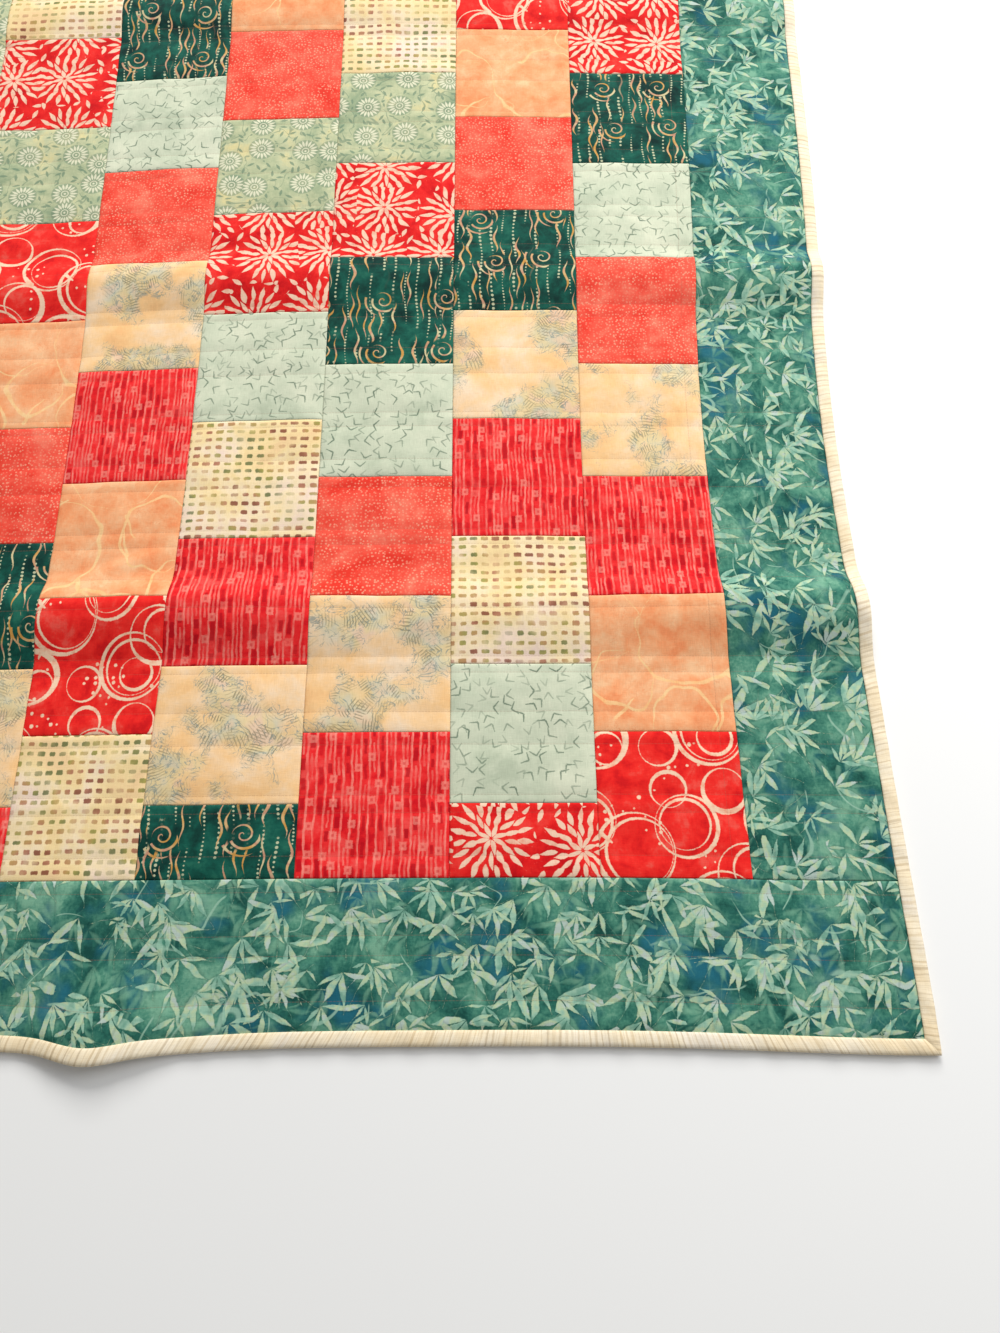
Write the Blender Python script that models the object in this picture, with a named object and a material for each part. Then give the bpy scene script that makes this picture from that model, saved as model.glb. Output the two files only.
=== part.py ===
"""Lap-size patchwork quilt lying flat: a pieced field, four border panels and a binding.

Lengths are in metres, +X runs across the quilt, +Y up its length and +Z away from the
surface it lies on. The origin is the middle of its footprint, on that surface.
"""
import math

import bpy
import numpy as np

# Layout of the flat quilt
PATCH = 0.1143          # finished side of one square patch, 4.5 in
COLUMNS = 9             # columns of patches, every second one dropped by half a patch
ROWS = 11               # rows of whole patches in a full column
BORDER = 0.109          # border cloth seen between the field's seam and the binding
BINDING = 0.011         # face of the binding, the same on both sides of the quilt

# Thicknesses, measured square to the cloth
LOFT = 0.0040           # quilted layers in the middle of a panel
BINDING_PLY = 0.0010    # doubled binding cloth on each side of the edge
BINDING_TALL = 0.0046   # binding over the squeezed edge of the layers
BINDING_FOLD = 0.0013   # depth of the binding's fold outside that edge
GAP = 0.0003            # clearance between neighbouring pieces
COVER_MARGIN = GAP * 1.5  # lines closer than this to the binding's face are under it

# Outline of the flat quilt and of its field, from the middle
HALF_FIELD_X = COLUMNS * PATCH / 2
HALF_FIELD_Y = ROWS * PATCH / 2
HALF_X = HALF_FIELD_X + BORDER + BINDING
HALF_Y = HALF_FIELD_Y + BORDER + BINDING

# Storage folds: soft ridges right across, one for each time the quilt was folded up.
# y is the crest line, near and far the distances to its feet, h1..h5 its height at five
# even places from the left edge to the right one.
FOLDS = [
    dict(y=-0.407, near=0.055, far=0.038, h1=0.009, h2=0.006, h3=0.012, h4=0.005, h5=0.013),
    dict(y=-0.073, near=0.050, far=0.030, h1=0.006, h2=0.004, h3=0.008, h4=0.004, h5=0.010),
    dict(y=0.261, near=0.045, far=0.040, h1=0.007, h2=0.004, h3=0.006, h4=0.004, h5=0.006),
    dict(y=0.595, near=0.045, far=0.045, h1=0.005, h2=0.004, h3=0.005, h4=0.003, h5=0.006),
]
CREST_HEIGHTS = ("h1", "h2", "h3", "h4", "h5")

# Places where the hem lifts off the surface in a short wave
LIPS = [
    dict(x=0.040, y=-0.750, reach_x=0.070, reach_y=0.075, height=0.008),
    dict(x=-0.330, y=0.750, reach_x=0.080, reach_y=0.070, height=0.005),
]

# Places where the lying cloth is pulled out of square: middle, reach and movement
PULLS = [
    dict(x=0.604, y=-0.229, reach_x=0.110, reach_y=0.150, move_x=-0.012, move_y=0.0),
    dict(x=0.644, y=-0.763, reach_x=0.120, reach_y=0.110, move_x=0.009, move_y=-0.009),
    dict(x=-0.117, y=-0.229, reach_x=0.090, reach_y=0.400, move_x=0.014, move_y=0.0),
    dict(x=0.074, y=-0.629, reach_x=0.060, reach_y=0.180, move_x=-0.009, move_y=0.0),
    dict(x=-0.226, y=0.111, reach_x=0.200, reach_y=0.340, move_x=0.0, move_y=-0.026),
    dict(x=0.032, y=-0.752, reach_x=0.022, reach_y=0.030, move_x=0.0, move_y=-0.007),
    dict(x=0.059, y=-0.752, reach_x=0.050, reach_y=0.040, move_x=0.0, move_y=-0.005),
    dict(x=0.580, y=0.560, reach_x=0.090, reach_y=0.120, move_x=0.005, move_y=0.0),
    dict(x=-0.620, y=0.250, reach_x=0.100, reach_y=0.200, move_x=0.006, move_y=0.0),
    dict(x=-0.620, y=-0.350, reach_x=0.100, reach_y=0.150, move_x=-0.005, move_y=0.0),
    dict(x=0.200, y=0.740, reach_x=0.150, reach_y=0.080, move_x=0.0, move_y=0.006),
    dict(x=-0.400, y=-0.740, reach_x=0.140, reach_y=0.060, move_x=0.0, move_y=0.005),
]

# Spacing of the mesh lines
COARSE = 0.075          # where the cloth is plain
FINE = 0.0135           # over a fold or a wave of the hem
SLOPE_STEP = 0.0004     # half the distance over which a slope is measured
SHARP_ANGLE = math.radians(40)

CLOTHS = {
    "pieced_field": dict(color=(0.72, 0.30, 0.20), roughness=0.86),
    "border_print": dict(color=(0.16, 0.36, 0.30), roughness=0.86),
    "binding_stripe": dict(color=(0.80, 0.66, 0.45), roughness=0.84),
}


def bump(distance, near, far):
    """Raised cosine: 1 at distance 0, down to 0 at -near and at far, and 0 beyond."""
    share = np.where(distance < 0, -distance / near, distance / far)
    return np.where(share < 1, 0.5 + 0.5 * np.cos(np.pi * np.clip(share, 0, 1)), 0.0)


def crest_height(fold, x):
    """Height of a fold's crest at x, eased between its five stated heights."""
    places = np.linspace(-HALF_X, HALF_X, len(CREST_HEIGHTS))
    heights = np.array([fold[key] for key in CREST_HEIGHTS])
    cell = np.clip(np.searchsorted(places, x) - 1, 0, len(places) - 2)
    share = np.clip((x - places[cell]) / (places[1] - places[0]), 0, 1)
    ease = 0.5 - 0.5 * np.cos(np.pi * share)
    return heights[cell] + (heights[cell + 1] - heights[cell]) * ease


def lie(across, along):
    """Underside of the lying cloth at flat-cloth places: pulled in plane, raised by its folds."""
    x = across.copy()
    y = along.copy()
    for pull in PULLS:
        weight = np.exp(-0.5 * ((across - pull["x"]) / pull["reach_x"]) ** 2
                        - 0.5 * ((along - pull["y"]) / pull["reach_y"]) ** 2)
        x += pull["move_x"] * weight
        y += pull["move_y"] * weight
    z = np.zeros_like(across)
    for fold in FOLDS:
        z += crest_height(fold, across) * bump(along - fold["y"], fold["near"], fold["far"])
    for lip in LIPS:
        z += lip["height"] * (bump(across - lip["x"], lip["reach_x"], lip["reach_x"])
                              * bump(along - lip["y"], lip["reach_y"], lip["reach_y"]))
    return np.stack([x, y, z], axis=-1)


def offset(across, along, depth):
    """A point `depth` above the underside, measured square to the cloth."""
    side = lie(across + SLOPE_STEP, along) - lie(across - SLOPE_STEP, along)
    up = lie(across, along + SLOPE_STEP) - lie(across, along - SLOPE_STEP)
    normal = np.cross(side, up)
    normal /= np.linalg.norm(normal, axis=-1, keepdims=True)
    return lie(across, along) + normal * np.asarray(depth)[..., None]


def lines(start, end, spots):
    """Mesh lines from start to end: fine within the spots (low, high), coarse elsewhere."""
    marks = sorted({start, end, *(edge for spot in spots for edge in spot if start < edge < end)})
    places = [start]
    for low, high in zip(marks, marks[1:]):
        inside = any(spot[0] <= (low + high) / 2 <= spot[1] for spot in spots)
        cells = max(1, round((high - low) / (FINE if inside else COARSE)))
        places += [low + (high - low) * (i + 1) / cells for i in range(cells)]
    return np.array(places)


def drawn_in(places):
    """The same lines with both ends moved in by half a gap."""
    drawn = places.copy()
    drawn[0] += GAP / 2
    drawn[-1] -= GAP / 2
    return drawn


def border_lines():
    """Lines across a border, from its seam outwards: middle, binding step and covered edge."""
    step = BORDER - GAP
    return np.array([BORDER / 2, step - GAP, step, BORDER + BINDING - BINDING_FOLD - GAP])


def uncovered(places, half):
    """The lines that the binding doesn't cover, on a quilt that ends at -half and half."""
    return places[np.abs(places) < half - BINDING - COVER_MARGIN]


def make_object(name, points, faces, cloth, parent):
    """Named object with its origin at the middle of its points, in its own cloth."""
    centre = np.array([*(points.min(axis=0) + points.max(axis=0))[:2] / 2, 0.0])
    mesh = bpy.data.meshes.new(name)
    mesh.from_pydata((points - centre).tolist(), [], faces)
    mesh.validate()
    mesh.shade_smooth()
    mesh.set_sharp_from_angle(angle=SHARP_ANGLE)
    mesh.materials.append(cloth)
    piece = bpy.data.objects.new(name, mesh)
    bpy.context.collection.objects.link(piece)
    piece.parent = parent
    piece.location = centre
    return piece


def panel(name, across, along, cloth, parent):
    """Quilted panel over a grid of lines, thinner where the binding covers its outer edge."""
    s, t = np.meshgrid(across, along, indexing="ij")
    covered = np.maximum(np.abs(s) - HALF_X, np.abs(t) - HALF_Y) > -BINDING - COVER_MARGIN
    top = np.where(covered, BINDING_TALL - BINDING_PLY - GAP, LOFT)
    bottom = np.where(covered, BINDING_PLY + GAP, 0.0)
    points = np.concatenate([offset(s, t, top).reshape(-1, 3), offset(s, t, bottom).reshape(-1, 3)])
    count_s, count_t = s.shape
    upper = np.arange(count_s * count_t).reshape(count_s, count_t)
    lower = upper + count_s * count_t
    faces = []
    for i in range(count_s - 1):
        for j in range(count_t - 1):
            faces.append((upper[i, j], upper[i + 1, j], upper[i + 1, j + 1], upper[i, j + 1]))
            faces.append((lower[i, j], lower[i, j + 1], lower[i + 1, j + 1], lower[i + 1, j]))
    rim = [(i, 0) for i in range(count_s)] + [(count_s - 1, j) for j in range(1, count_t)]
    rim += [(i, count_t - 1) for i in range(count_s - 2, -1, -1)] + [(0, j) for j in range(count_t - 2, 0, -1)]
    for a, b in zip(rim, rim[1:] + rim[:1]):
        faces.append((lower[a], lower[b], upper[b], upper[a]))
    return make_object(name, points, [tuple(int(k) for k in face) for face in faces], cloth, parent)


def binding(across, along, cloth, parent):
    """Folded strip round the whole edge: a U section, mitred at the four corners."""
    profile = [
        (0.0, 0.0), (0.0, BINDING_TALL), (BINDING, BINDING_TALL),
        (BINDING, BINDING_TALL - BINDING_PLY), (BINDING_FOLD, BINDING_TALL - BINDING_PLY),
        (BINDING_FOLD, BINDING_PLY), (BINDING, BINDING_PLY), (BINDING, 0.0),
    ]
    loops = []
    for inset, depth in profile:
        right, top = HALF_X - inset, HALF_Y - inset
        s = np.concatenate([[-right], across, [right], np.full(len(along), right),
                            [right], across[::-1], [-right], np.full(len(along), -right)])
        t = np.concatenate([[-top], np.full(len(across), -top), [-top], along,
                            [top], np.full(len(across), top), [top], along[::-1]])
        loops.append(offset(s, t, np.full(len(s), depth)))
    points = np.stack(loops, axis=1)
    stations, corners = points.shape[:2]
    index = np.arange(stations * corners).reshape(stations, corners)
    faces = []
    for i in range(stations):
        after = (i + 1) % stations
        for k in range(corners):
            beside = (k + 1) % corners
            faces.append((int(index[i, k]), int(index[after, k]), int(index[after, beside]), int(index[i, beside])))
    return make_object("binding", points.reshape(-1, 3), faces, cloth, parent)


def make_cloth(name, color, roughness):
    """Matt, non-metallic cloth of one colour."""
    cloth = bpy.data.materials.new(name)
    cloth.use_nodes = True
    shader = cloth.node_tree.nodes["Principled BSDF"]
    shader.inputs["Base Color"].default_value = (*color, 1.0)
    shader.inputs["Roughness"].default_value = roughness
    shader.inputs["Metallic"].default_value = 0.0
    return cloth


def build_quilt():
    """All the pieces under one empty, which stands the footprint's middle on the origin."""
    for thing in list(bpy.data.objects):
        bpy.data.objects.remove(thing, do_unlink=True)
    cloths = {name: make_cloth(name, **values) for name, values in CLOTHS.items()}
    quilt = bpy.data.objects.new("quilt", None)
    bpy.context.collection.objects.link(quilt)

    fold_spots = [(fold["y"] - fold["near"], fold["y"] + fold["far"]) for fold in FOLDS]
    lip_spots = [(lip["x"] - lip["reach_x"], lip["x"] + lip["reach_x"]) for lip in LIPS]
    field_s = lines(-HALF_FIELD_X, HALF_FIELD_X, lip_spots)
    field_t = lines(-HALF_FIELD_Y, HALF_FIELD_Y, fold_spots)
    outward = border_lines()
    right_s = HALF_FIELD_X + outward
    top_t = HALF_FIELD_Y + outward
    inner_s = drawn_in(field_s)
    inner_t = drawn_in(field_t)
    seam_x = HALF_FIELD_X + GAP / 2
    seam_y = HALF_FIELD_Y + GAP / 2
    whole_s = np.concatenate([-right_s[::-1], field_s, right_s])
    whole_t = np.concatenate([-top_t[::-1], field_t, top_t])

    print_cloth = cloths["border_print"]
    pieces = [
        panel("field", inner_s, inner_t, cloths["pieced_field"], quilt),
        panel("border_right", np.array([seam_x, *right_s]), inner_t, print_cloth, quilt),
        panel("border_left", np.array([*-right_s[::-1], -seam_x]), inner_t, print_cloth, quilt),
        panel("border_top", whole_s, np.array([seam_y, *top_t]), print_cloth, quilt),
        panel("border_bottom", whole_s, np.array([*-top_t[::-1], -seam_y]), print_cloth, quilt),
        binding(uncovered(whole_s, HALF_X), uncovered(whole_t, HALF_Y), cloths["binding_stripe"], quilt),
    ]

    bpy.context.view_layer.update()
    corners = np.array([piece.matrix_world @ vertex.co for piece in pieces for vertex in piece.data.vertices])
    middle = (corners.min(axis=0) + corners.max(axis=0)) / 2
    quilt.location = (-middle[0], -middle[1], -corners[:, 2].min())
    bpy.context.view_layer.update()


build_quilt()
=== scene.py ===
# A lap-size patchwork quilt lying flat: patches, borders, binding, back, cloths and light,
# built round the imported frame. Lengths are in metres: x across, y up its length, z off the floor.
import math

import bpy
import numpy as np
from mathutils import Matrix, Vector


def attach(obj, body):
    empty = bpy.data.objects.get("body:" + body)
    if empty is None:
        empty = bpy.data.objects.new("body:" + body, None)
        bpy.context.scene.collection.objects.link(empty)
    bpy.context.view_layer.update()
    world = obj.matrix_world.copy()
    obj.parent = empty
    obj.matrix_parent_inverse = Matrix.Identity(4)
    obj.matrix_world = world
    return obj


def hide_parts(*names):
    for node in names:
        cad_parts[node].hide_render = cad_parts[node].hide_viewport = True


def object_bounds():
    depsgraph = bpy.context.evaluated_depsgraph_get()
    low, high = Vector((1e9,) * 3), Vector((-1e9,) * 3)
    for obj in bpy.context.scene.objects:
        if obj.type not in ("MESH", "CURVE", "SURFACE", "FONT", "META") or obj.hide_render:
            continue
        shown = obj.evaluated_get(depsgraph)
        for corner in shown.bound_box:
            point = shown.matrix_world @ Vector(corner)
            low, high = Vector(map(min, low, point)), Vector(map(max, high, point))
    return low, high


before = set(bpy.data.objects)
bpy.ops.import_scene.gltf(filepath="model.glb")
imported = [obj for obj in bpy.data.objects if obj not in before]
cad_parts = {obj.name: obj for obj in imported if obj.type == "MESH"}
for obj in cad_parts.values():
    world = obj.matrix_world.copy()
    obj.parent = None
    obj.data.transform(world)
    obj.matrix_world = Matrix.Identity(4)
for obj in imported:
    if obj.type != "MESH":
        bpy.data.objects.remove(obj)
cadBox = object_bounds()

# the flat cut of the quilt; across and along are measured from its middle
quiltCut = {
    "patch": 0.1143,  # finished side of a square patch
    "columns": 9,
    "rows": 11,
    "border": 0.109,  # seam of the field to the binding
    "binding": 0.011,  # face of the binding
    "allowance": 0.00635,  # cloth turned under at each seam
}
fieldHalf = (quiltCut["columns"] * quiltCut["patch"] / 2, quiltCut["rows"] * quiltCut["patch"] / 2)
borderHalf = tuple(half + quiltCut["border"] for half in fieldHalf)
quiltHalf = tuple(half + quiltCut["binding"] for half in borderHalf)

# heights over the cloth's underside, measured square to it
quiltLoft = {
    "panel": 0.0040,  # quilted layers
    "puff": 0.00011,  # how far they swell between the quilting lines
    "puffReach": 0.012,
    "lineDip": 0.00042,  # how deep a quilting line is sewn in
    "lineReach": 0.0038,
    "sideShare": 0.7,  # the lines up the sides are sewn less deep
    "seamDip": 0.0009,
    "seamReach": 0.0026,
    "underBinding": 0.0029,  # the top where the binding covers it
    "back": 0.0003,
    "backUnderBinding": 0.0014,
}

# storage folds: a soft ridge right across for each time the quilt was folded up
storageFolds = [
    dict(y=-0.407, near=0.055, far=0.038, h1=0.009, h2=0.006, h3=0.012, h4=0.005, h5=0.013),
    dict(y=-0.073, near=0.050, far=0.030, h1=0.006, h2=0.004, h3=0.008, h4=0.004, h5=0.010),
    dict(y=0.261, near=0.045, far=0.040, h1=0.007, h2=0.004, h3=0.006, h4=0.004, h5=0.006),
    dict(y=0.595, near=0.045, far=0.045, h1=0.005, h2=0.004, h3=0.005, h4=0.003, h5=0.006),
]
# places where the hem lifts in a short wave
hemWaves = [
    dict(x=0.040, y=-0.750, reachX=0.070, reachY=0.075, height=0.008),
    dict(x=-0.330, y=0.750, reachX=0.080, reachY=0.070, height=0.005),
]
# places where the lying cloth is pulled out of square
clothPulls = [
    dict(x=0.604, y=-0.229, reachX=0.110, reachY=0.150, moveX=-0.012, moveY=0.0),
    dict(x=0.644, y=-0.763, reachX=0.120, reachY=0.110, moveX=0.009, moveY=-0.009),
    dict(x=-0.117, y=-0.229, reachX=0.090, reachY=0.400, moveX=0.014, moveY=0.0),
    dict(x=0.074, y=-0.629, reachX=0.060, reachY=0.180, moveX=-0.009, moveY=0.0),
    dict(x=-0.226, y=0.111, reachX=0.200, reachY=0.340, moveX=0.0, moveY=-0.026),
    dict(x=0.032, y=-0.752, reachX=0.022, reachY=0.030, moveX=0.0, moveY=-0.007),
    dict(x=0.059, y=-0.752, reachX=0.050, reachY=0.040, moveX=0.0, moveY=-0.005),
    dict(x=0.580, y=0.560, reachX=0.090, reachY=0.120, moveX=0.005, moveY=0.0),
    dict(x=-0.620, y=0.250, reachX=0.100, reachY=0.200, moveX=0.006, moveY=0.0),
    dict(x=-0.620, y=-0.350, reachX=0.100, reachY=0.150, moveX=-0.005, moveY=0.0),
    dict(x=0.200, y=0.740, reachX=0.150, reachY=0.080, moveX=0.0, moveY=0.006),
    dict(x=-0.400, y=-0.740, reachX=0.140, reachY=0.060, moveX=0.0, moveY=0.005),
]
# short creases in the top: middle, direction in degrees, half length, half width, height
softCreases = [
    dict(x=0.014, y=-0.367, turn=20, reach=0.060, wide=0.012, height=0.0030),
    dict(x=0.060, y=-0.708, turn=98, reach=0.030, wide=0.006, height=0.0018),
    dict(x=0.022, y=-0.716, turn=80, reach=0.026, wide=0.005, height=0.0015),
    dict(x=0.088, y=-0.722, turn=110, reach=0.024, wide=0.005, height=0.0012),
    dict(x=-0.330, y=-0.380, turn=-14, reach=0.070, wide=0.012, height=0.0024),
    dict(x=-0.200, y=0.230, turn=12, reach=0.080, wide=0.012, height=0.0022),
    dict(x=0.330, y=0.300, turn=-9, reach=0.090, wide=0.013, height=0.0022),
    dict(x=-0.020, y=-0.050, turn=16, reach=0.050, wide=0.010, height=0.0018),
    dict(x=0.300, y=0.620, turn=7, reach=0.080, wide=0.011, height=0.0020),
    dict(x=-0.420, y=0.520, turn=-20, reach=0.060, wide=0.011, height=0.0022),
]
# slow unevenness of the wadding: wavelength, direction in degrees, height, phase
wadding = [
    dict(wave=0.083, turn=12, height=0.00030, phase=0.3),
    dict(wave=0.061, turn=74, height=0.00026, phase=1.9),
    dict(wave=0.047, turn=-38, height=0.00020, phase=4.0),
    dict(wave=0.031, turn=101, height=0.00014, phase=2.2),
    dict(wave=0.026, turn=33, height=0.00010, phase=5.1),
]
# quilting lines: rows from side to side at these heights over each row's seam, and out from the field
quiltingLines = {
    "inPatch": (0.017, 0.050, 0.064, 0.1043),
    "inBorder": (0.010, 0.042, 0.0565, 0.0885),
    "inSide": 0.014,  # one line up the outermost columns, this far in from the seam
}


# raised cosine: 1 at distance 0, 0 at -near and at far, and 0 beyond
def bump(distance, near, far):
    share = np.where(distance < 0, -distance / near, distance / far)
    return np.where(share < 1, 0.5 + 0.5 * np.cos(np.pi * np.clip(share, 0, 1)), 0.0)


# height of a fold's crest: five even stations across, eased by a cosine between them
def crestHeight(fold, x):
    heights = np.array([fold[key] for key in ("h1", "h2", "h3", "h4", "h5")])
    places = np.linspace(-quiltHalf[0], quiltHalf[0], len(heights))
    cell = np.clip(np.searchsorted(places, x) - 1, 0, len(heights) - 2)
    share = np.clip((x - places[cell]) / (places[1] - places[0]), 0, 1)
    ease = 0.5 - 0.5 * np.cos(np.pi * share)
    return heights[cell] + (heights[cell + 1] - heights[cell]) * ease


# underside of the lying cloth: the flat place plus Gaussian pulls, raised by folds and waves
def lieOf(across, along):
    x = across.copy()
    y = along.copy()
    for pull in clothPulls:
        offX = (across - pull["x"]) / pull["reachX"]
        offY = (along - pull["y"]) / pull["reachY"]
        weight = np.exp(-0.5 * offX**2 - 0.5 * offY**2)
        x += pull["moveX"] * weight
        y += pull["moveY"] * weight
    z = np.zeros_like(across)
    for fold in storageFolds:
        z += crestHeight(fold, across) * bump(along - fold["y"], fold["near"], fold["far"])
    for wave in hemWaves:
        z += (wave["height"] * bump(across - wave["x"], wave["reachX"], wave["reachX"])
              * bump(along - wave["y"], wave["reachY"], wave["reachY"]))
    return np.stack([x, y, z], axis=-1)


# the quilt's flat outline, laid out, and the frame's box give the step from one middle to the other
def middleStep():
    share = np.linspace(-1, 1, 400)
    side = np.ones_like(share)
    across = np.concatenate([share, share, side, -side]) * quiltHalf[0]
    along = np.concatenate([side, -side, share, share]) * quiltHalf[1]
    edge = lieOf(across, along)
    middle = (edge.min(axis=0) + edge.max(axis=0)) / 2
    box = (np.array(cadBox[0]) + np.array(cadBox[1])) / 2
    return np.array([box[0] - middle[0], box[1] - middle[1], 0.0])


quiltStep = middleStep()


# a point at a height over the underside, along the cross product of the surface's two slopes
def standOff(across, along, height):
    step = 0.0004
    side = lieOf(across + step, along) - lieOf(across - step, along)
    up = lieOf(across, along + step) - lieOf(across, along - step)
    normal = np.cross(side, up)
    normal /= np.linalg.norm(normal, axis=-1, keepdims=True)
    return lieOf(across, along) + normal * np.asarray(height)[..., None] + quiltStep


# every quilting line's place along, from the bottom border to the top one
def allQuiltingLines():
    rows = np.arange(quiltCut["rows"]) * quiltCut["patch"] - fieldHalf[1]
    inField = (rows[:, None] + np.array(quiltingLines["inPatch"])).ravel()
    outward = fieldHalf[1] + np.array(quiltingLines["inBorder"])
    return np.sort(np.concatenate([inField, outward, -outward]))


stitchedRows = allQuiltingLines()
stitchedSides = np.array([-1, 1]) * (fieldHalf[0] - quiltingLines["inSide"])


# distance to the nearest of a few lines
def nearest(value, marks):
    return np.abs(value[..., None] - marks).min(axis=-1)


# 1 at distance 0, falling as exp(-(distance / reach)^2)
def gauss(distance, reach):
    return np.exp(-((distance / reach) ** 2))


# height of the top: loft and puff, less a dip at each quilting line, plus creases and wadding
def clothTop(across, along):
    rowGap = nearest(along, stitchedRows)
    sideGap = nearest(across, stitchedSides)
    sideGap = np.where(np.abs(along) < fieldHalf[1], sideGap, 1.0)
    top = quiltLoft["panel"] + quiltLoft["puff"] * (1 - gauss(rowGap, quiltLoft["puffReach"]))
    top = top - quiltLoft["lineDip"] * gauss(rowGap, quiltLoft["lineReach"])
    top = top - quiltLoft["sideShare"] * quiltLoft["lineDip"] * gauss(sideGap, quiltLoft["lineReach"])
    for crease in softCreases:
        turn = math.radians(crease["turn"])
        offX, offY = across - crease["x"], along - crease["y"]
        run = offX * math.cos(turn) + offY * math.sin(turn)
        beside = offY * math.cos(turn) - offX * math.sin(turn)
        top = top + (crease["height"] * bump(run, crease["reach"], crease["reach"])
                     * bump(beside, crease["wide"] * 1.6, crease["wide"]))
    for swell in wadding:
        turn = math.radians(swell["turn"])
        run = across * math.cos(turn) + along * math.sin(turn)
        top = top + swell["height"] * np.sin(2 * np.pi * run / swell["wave"] + swell["phase"])
    return top


# dip beside a sewn seam, at this distance from it
def seamDip(distance):
    return quiltLoft["seamDip"] * np.exp(-distance / quiltLoft["seamReach"])


# lines from low to high at about this step, with extra ones beside each edge and stitched line
def meshLines(low, high, stitched, step):
    beside = 0.0013
    marks = {low, low + beside, high - beside, high}
    for line in stitched:
        if low + 2 * beside < line < high - 2 * beside:
            marks |= {line - beside, line, line + beside}
    marks = np.array(sorted(marks))
    parts = []
    for start, end in zip(marks[:-1], marks[1:]):
        count = max(1, math.ceil((end - start) / step - 0.2))
        parts.append(np.linspace(start, end, count, endpoint=False))
    return np.concatenate([*parts, [high]])


# how an edge is turned under: it bends down within "bend", and then runs back in
turnedEdge = {
    "bend": 0.0005,
    "steps": [0.0005, 0.0021, 0.0042, quiltCut["allowance"]],
    "lowerS": 0.0007,  # how much lower the turned cloth lies at the sides, and at the ends
    "lowerT": 0.0005,
    "noLine": (0.02, 0.05),  # distances that keep the sewn lines off the turned cloth
}


# the same lines run on past both ends, for the cloth turned under at the seams
def withAllowance(lines, before, after):
    steps = np.array(turnedEdge["steps"])
    head = [lines[0] - steps[::-1]] if before else []
    tail = [lines[-1] + steps] if after else []
    return np.concatenate([*head, lines, *tail])


# quads over a grid of that many lines each way, facing up
def gridQuads(countS, countT):
    index = np.arange(countS * countT).reshape(countS, countT)
    corners = [index[:-1, :-1], index[1:, :-1], index[1:, 1:], index[:-1, 1:]]
    return np.stack([corner.ravel() for corner in corners], axis=1)


# a mesh object from points, quads and its named flat maps, one place for each point
def makePiece(name, points, quads, maps, material):
    mesh = bpy.data.meshes.new(name)
    mesh.vertices.add(len(points))
    mesh.vertices.foreach_set("co", points.astype(np.float32).ravel())
    mesh.loops.add(quads.size)
    mesh.loops.foreach_set("vertex_index", quads.astype(np.int32).ravel())
    mesh.polygons.add(len(quads))
    mesh.polygons.foreach_set("loop_start", np.arange(len(quads), dtype=np.int32) * 4)
    mesh.polygons.foreach_set("use_smooth", np.ones(len(quads), dtype=bool))
    mesh.update(calc_edges=True)
    for label, places in maps.items():
        layer = mesh.uv_layers.new(name=label)
        flat = places if places.ndim == 3 else places[quads]
        layer.data.foreach_set("uv", flat.astype(np.float32).ravel())
    mesh.validate()
    mesh.materials.append(material)
    piece = bpy.data.objects.new(name, mesh)
    bpy.context.scene.collection.objects.link(piece)
    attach(piece, "root")
    return piece


# flat places turned by quarters, as a print cut the other way of the cloth
def quarterTurned(flat, quarter):
    x, y = flat[:, 0], flat[:, 1]
    return np.stack([(x, y), (y, -x), (-x, -y), (-y, x)][quarter % 4], axis=1)


# place and how far past an edge: beyond its bend the place runs back in from the edge
def foldedBack(place, low, high):
    over = np.maximum(0, np.maximum(low - place, place - high))
    back = np.where(place > high, -1, 1) * np.maximum(0, over - turnedEdge["bend"])
    return np.clip(place, low, high) + back, over


# a sheet with turned-under edges, which lie a little lower than its face
def turnedSheet(name, linesS, linesT, edges, material, topOf, printShift, quarter=0, bakeRows=1):
    s, t = np.meshgrid(linesS, linesT, indexing="ij")
    lowS, highS, lowT, highT = edges
    foldS, overS = foldedBack(s, lowS, highS)
    foldT, overT = foldedBack(t, lowT, highT)
    lower = (turnedEdge["lowerS"] * np.clip(overS / turnedEdge["bend"], 0, 1)
             + turnedEdge["lowerT"] * np.clip(overT / turnedEdge["bend"], 0, 1))
    points = standOff(foldS, foldT, topOf(foldS, foldT) - lower).reshape(-1, 3)
    quads = gridQuads(*s.shape)
    flat = np.stack([s.ravel(), t.ravel()], axis=1)
    noRow, noSide = turnedEdge["noLine"]
    rowGap = np.where(overS + overT > 0, noRow, nearest(t, stitchedRows))
    sideGap = np.where((np.abs(t) < fieldHalf[1]) & (overS == 0), nearest(s, stitchedSides), noSide)
    maps = {
        "cutPlace": quarterTurned(flat, quarter) + np.array(printShift),
        "stitchAcross": np.stack([s.ravel(), rowGap.ravel()], axis=1),
        "stitchUp": np.stack([t.ravel(), sideGap.ravel()], axis=1),
        "OFBake": bakeLayout(flat, quads, bakeRows),
    }
    return makePiece(name, points, quads, maps, material)


# a flat sheet cut into rows that stand one above another in the unit square
def bakeLayout(flat, quads, rows):
    low, high = flat.min(axis=0), flat.max(axis=0)
    size = high - low
    run, wide = (0, 1) if size[0] > size[1] else (1, 0)
    margin, inward = 0.006, 0.012  # kept clear at a row's long sides, and at its ends
    places = flat[quads]
    middle = places.mean(axis=1)
    row = np.clip(((middle[:, run] - low[run]) / size[run] * rows).astype(int), 0, rows - 1)
    u = (places[..., run] - low[run]) / size[run] * rows - row[:, None]
    v = (row[:, None] + (1 - 2 * margin) * (places[..., wide] - low[wide]) / size[wide] + margin) / rows
    return np.stack([inward + (1 - 2 * inward) * u, v], axis=-1)


fullTurn = 2 * math.pi


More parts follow.
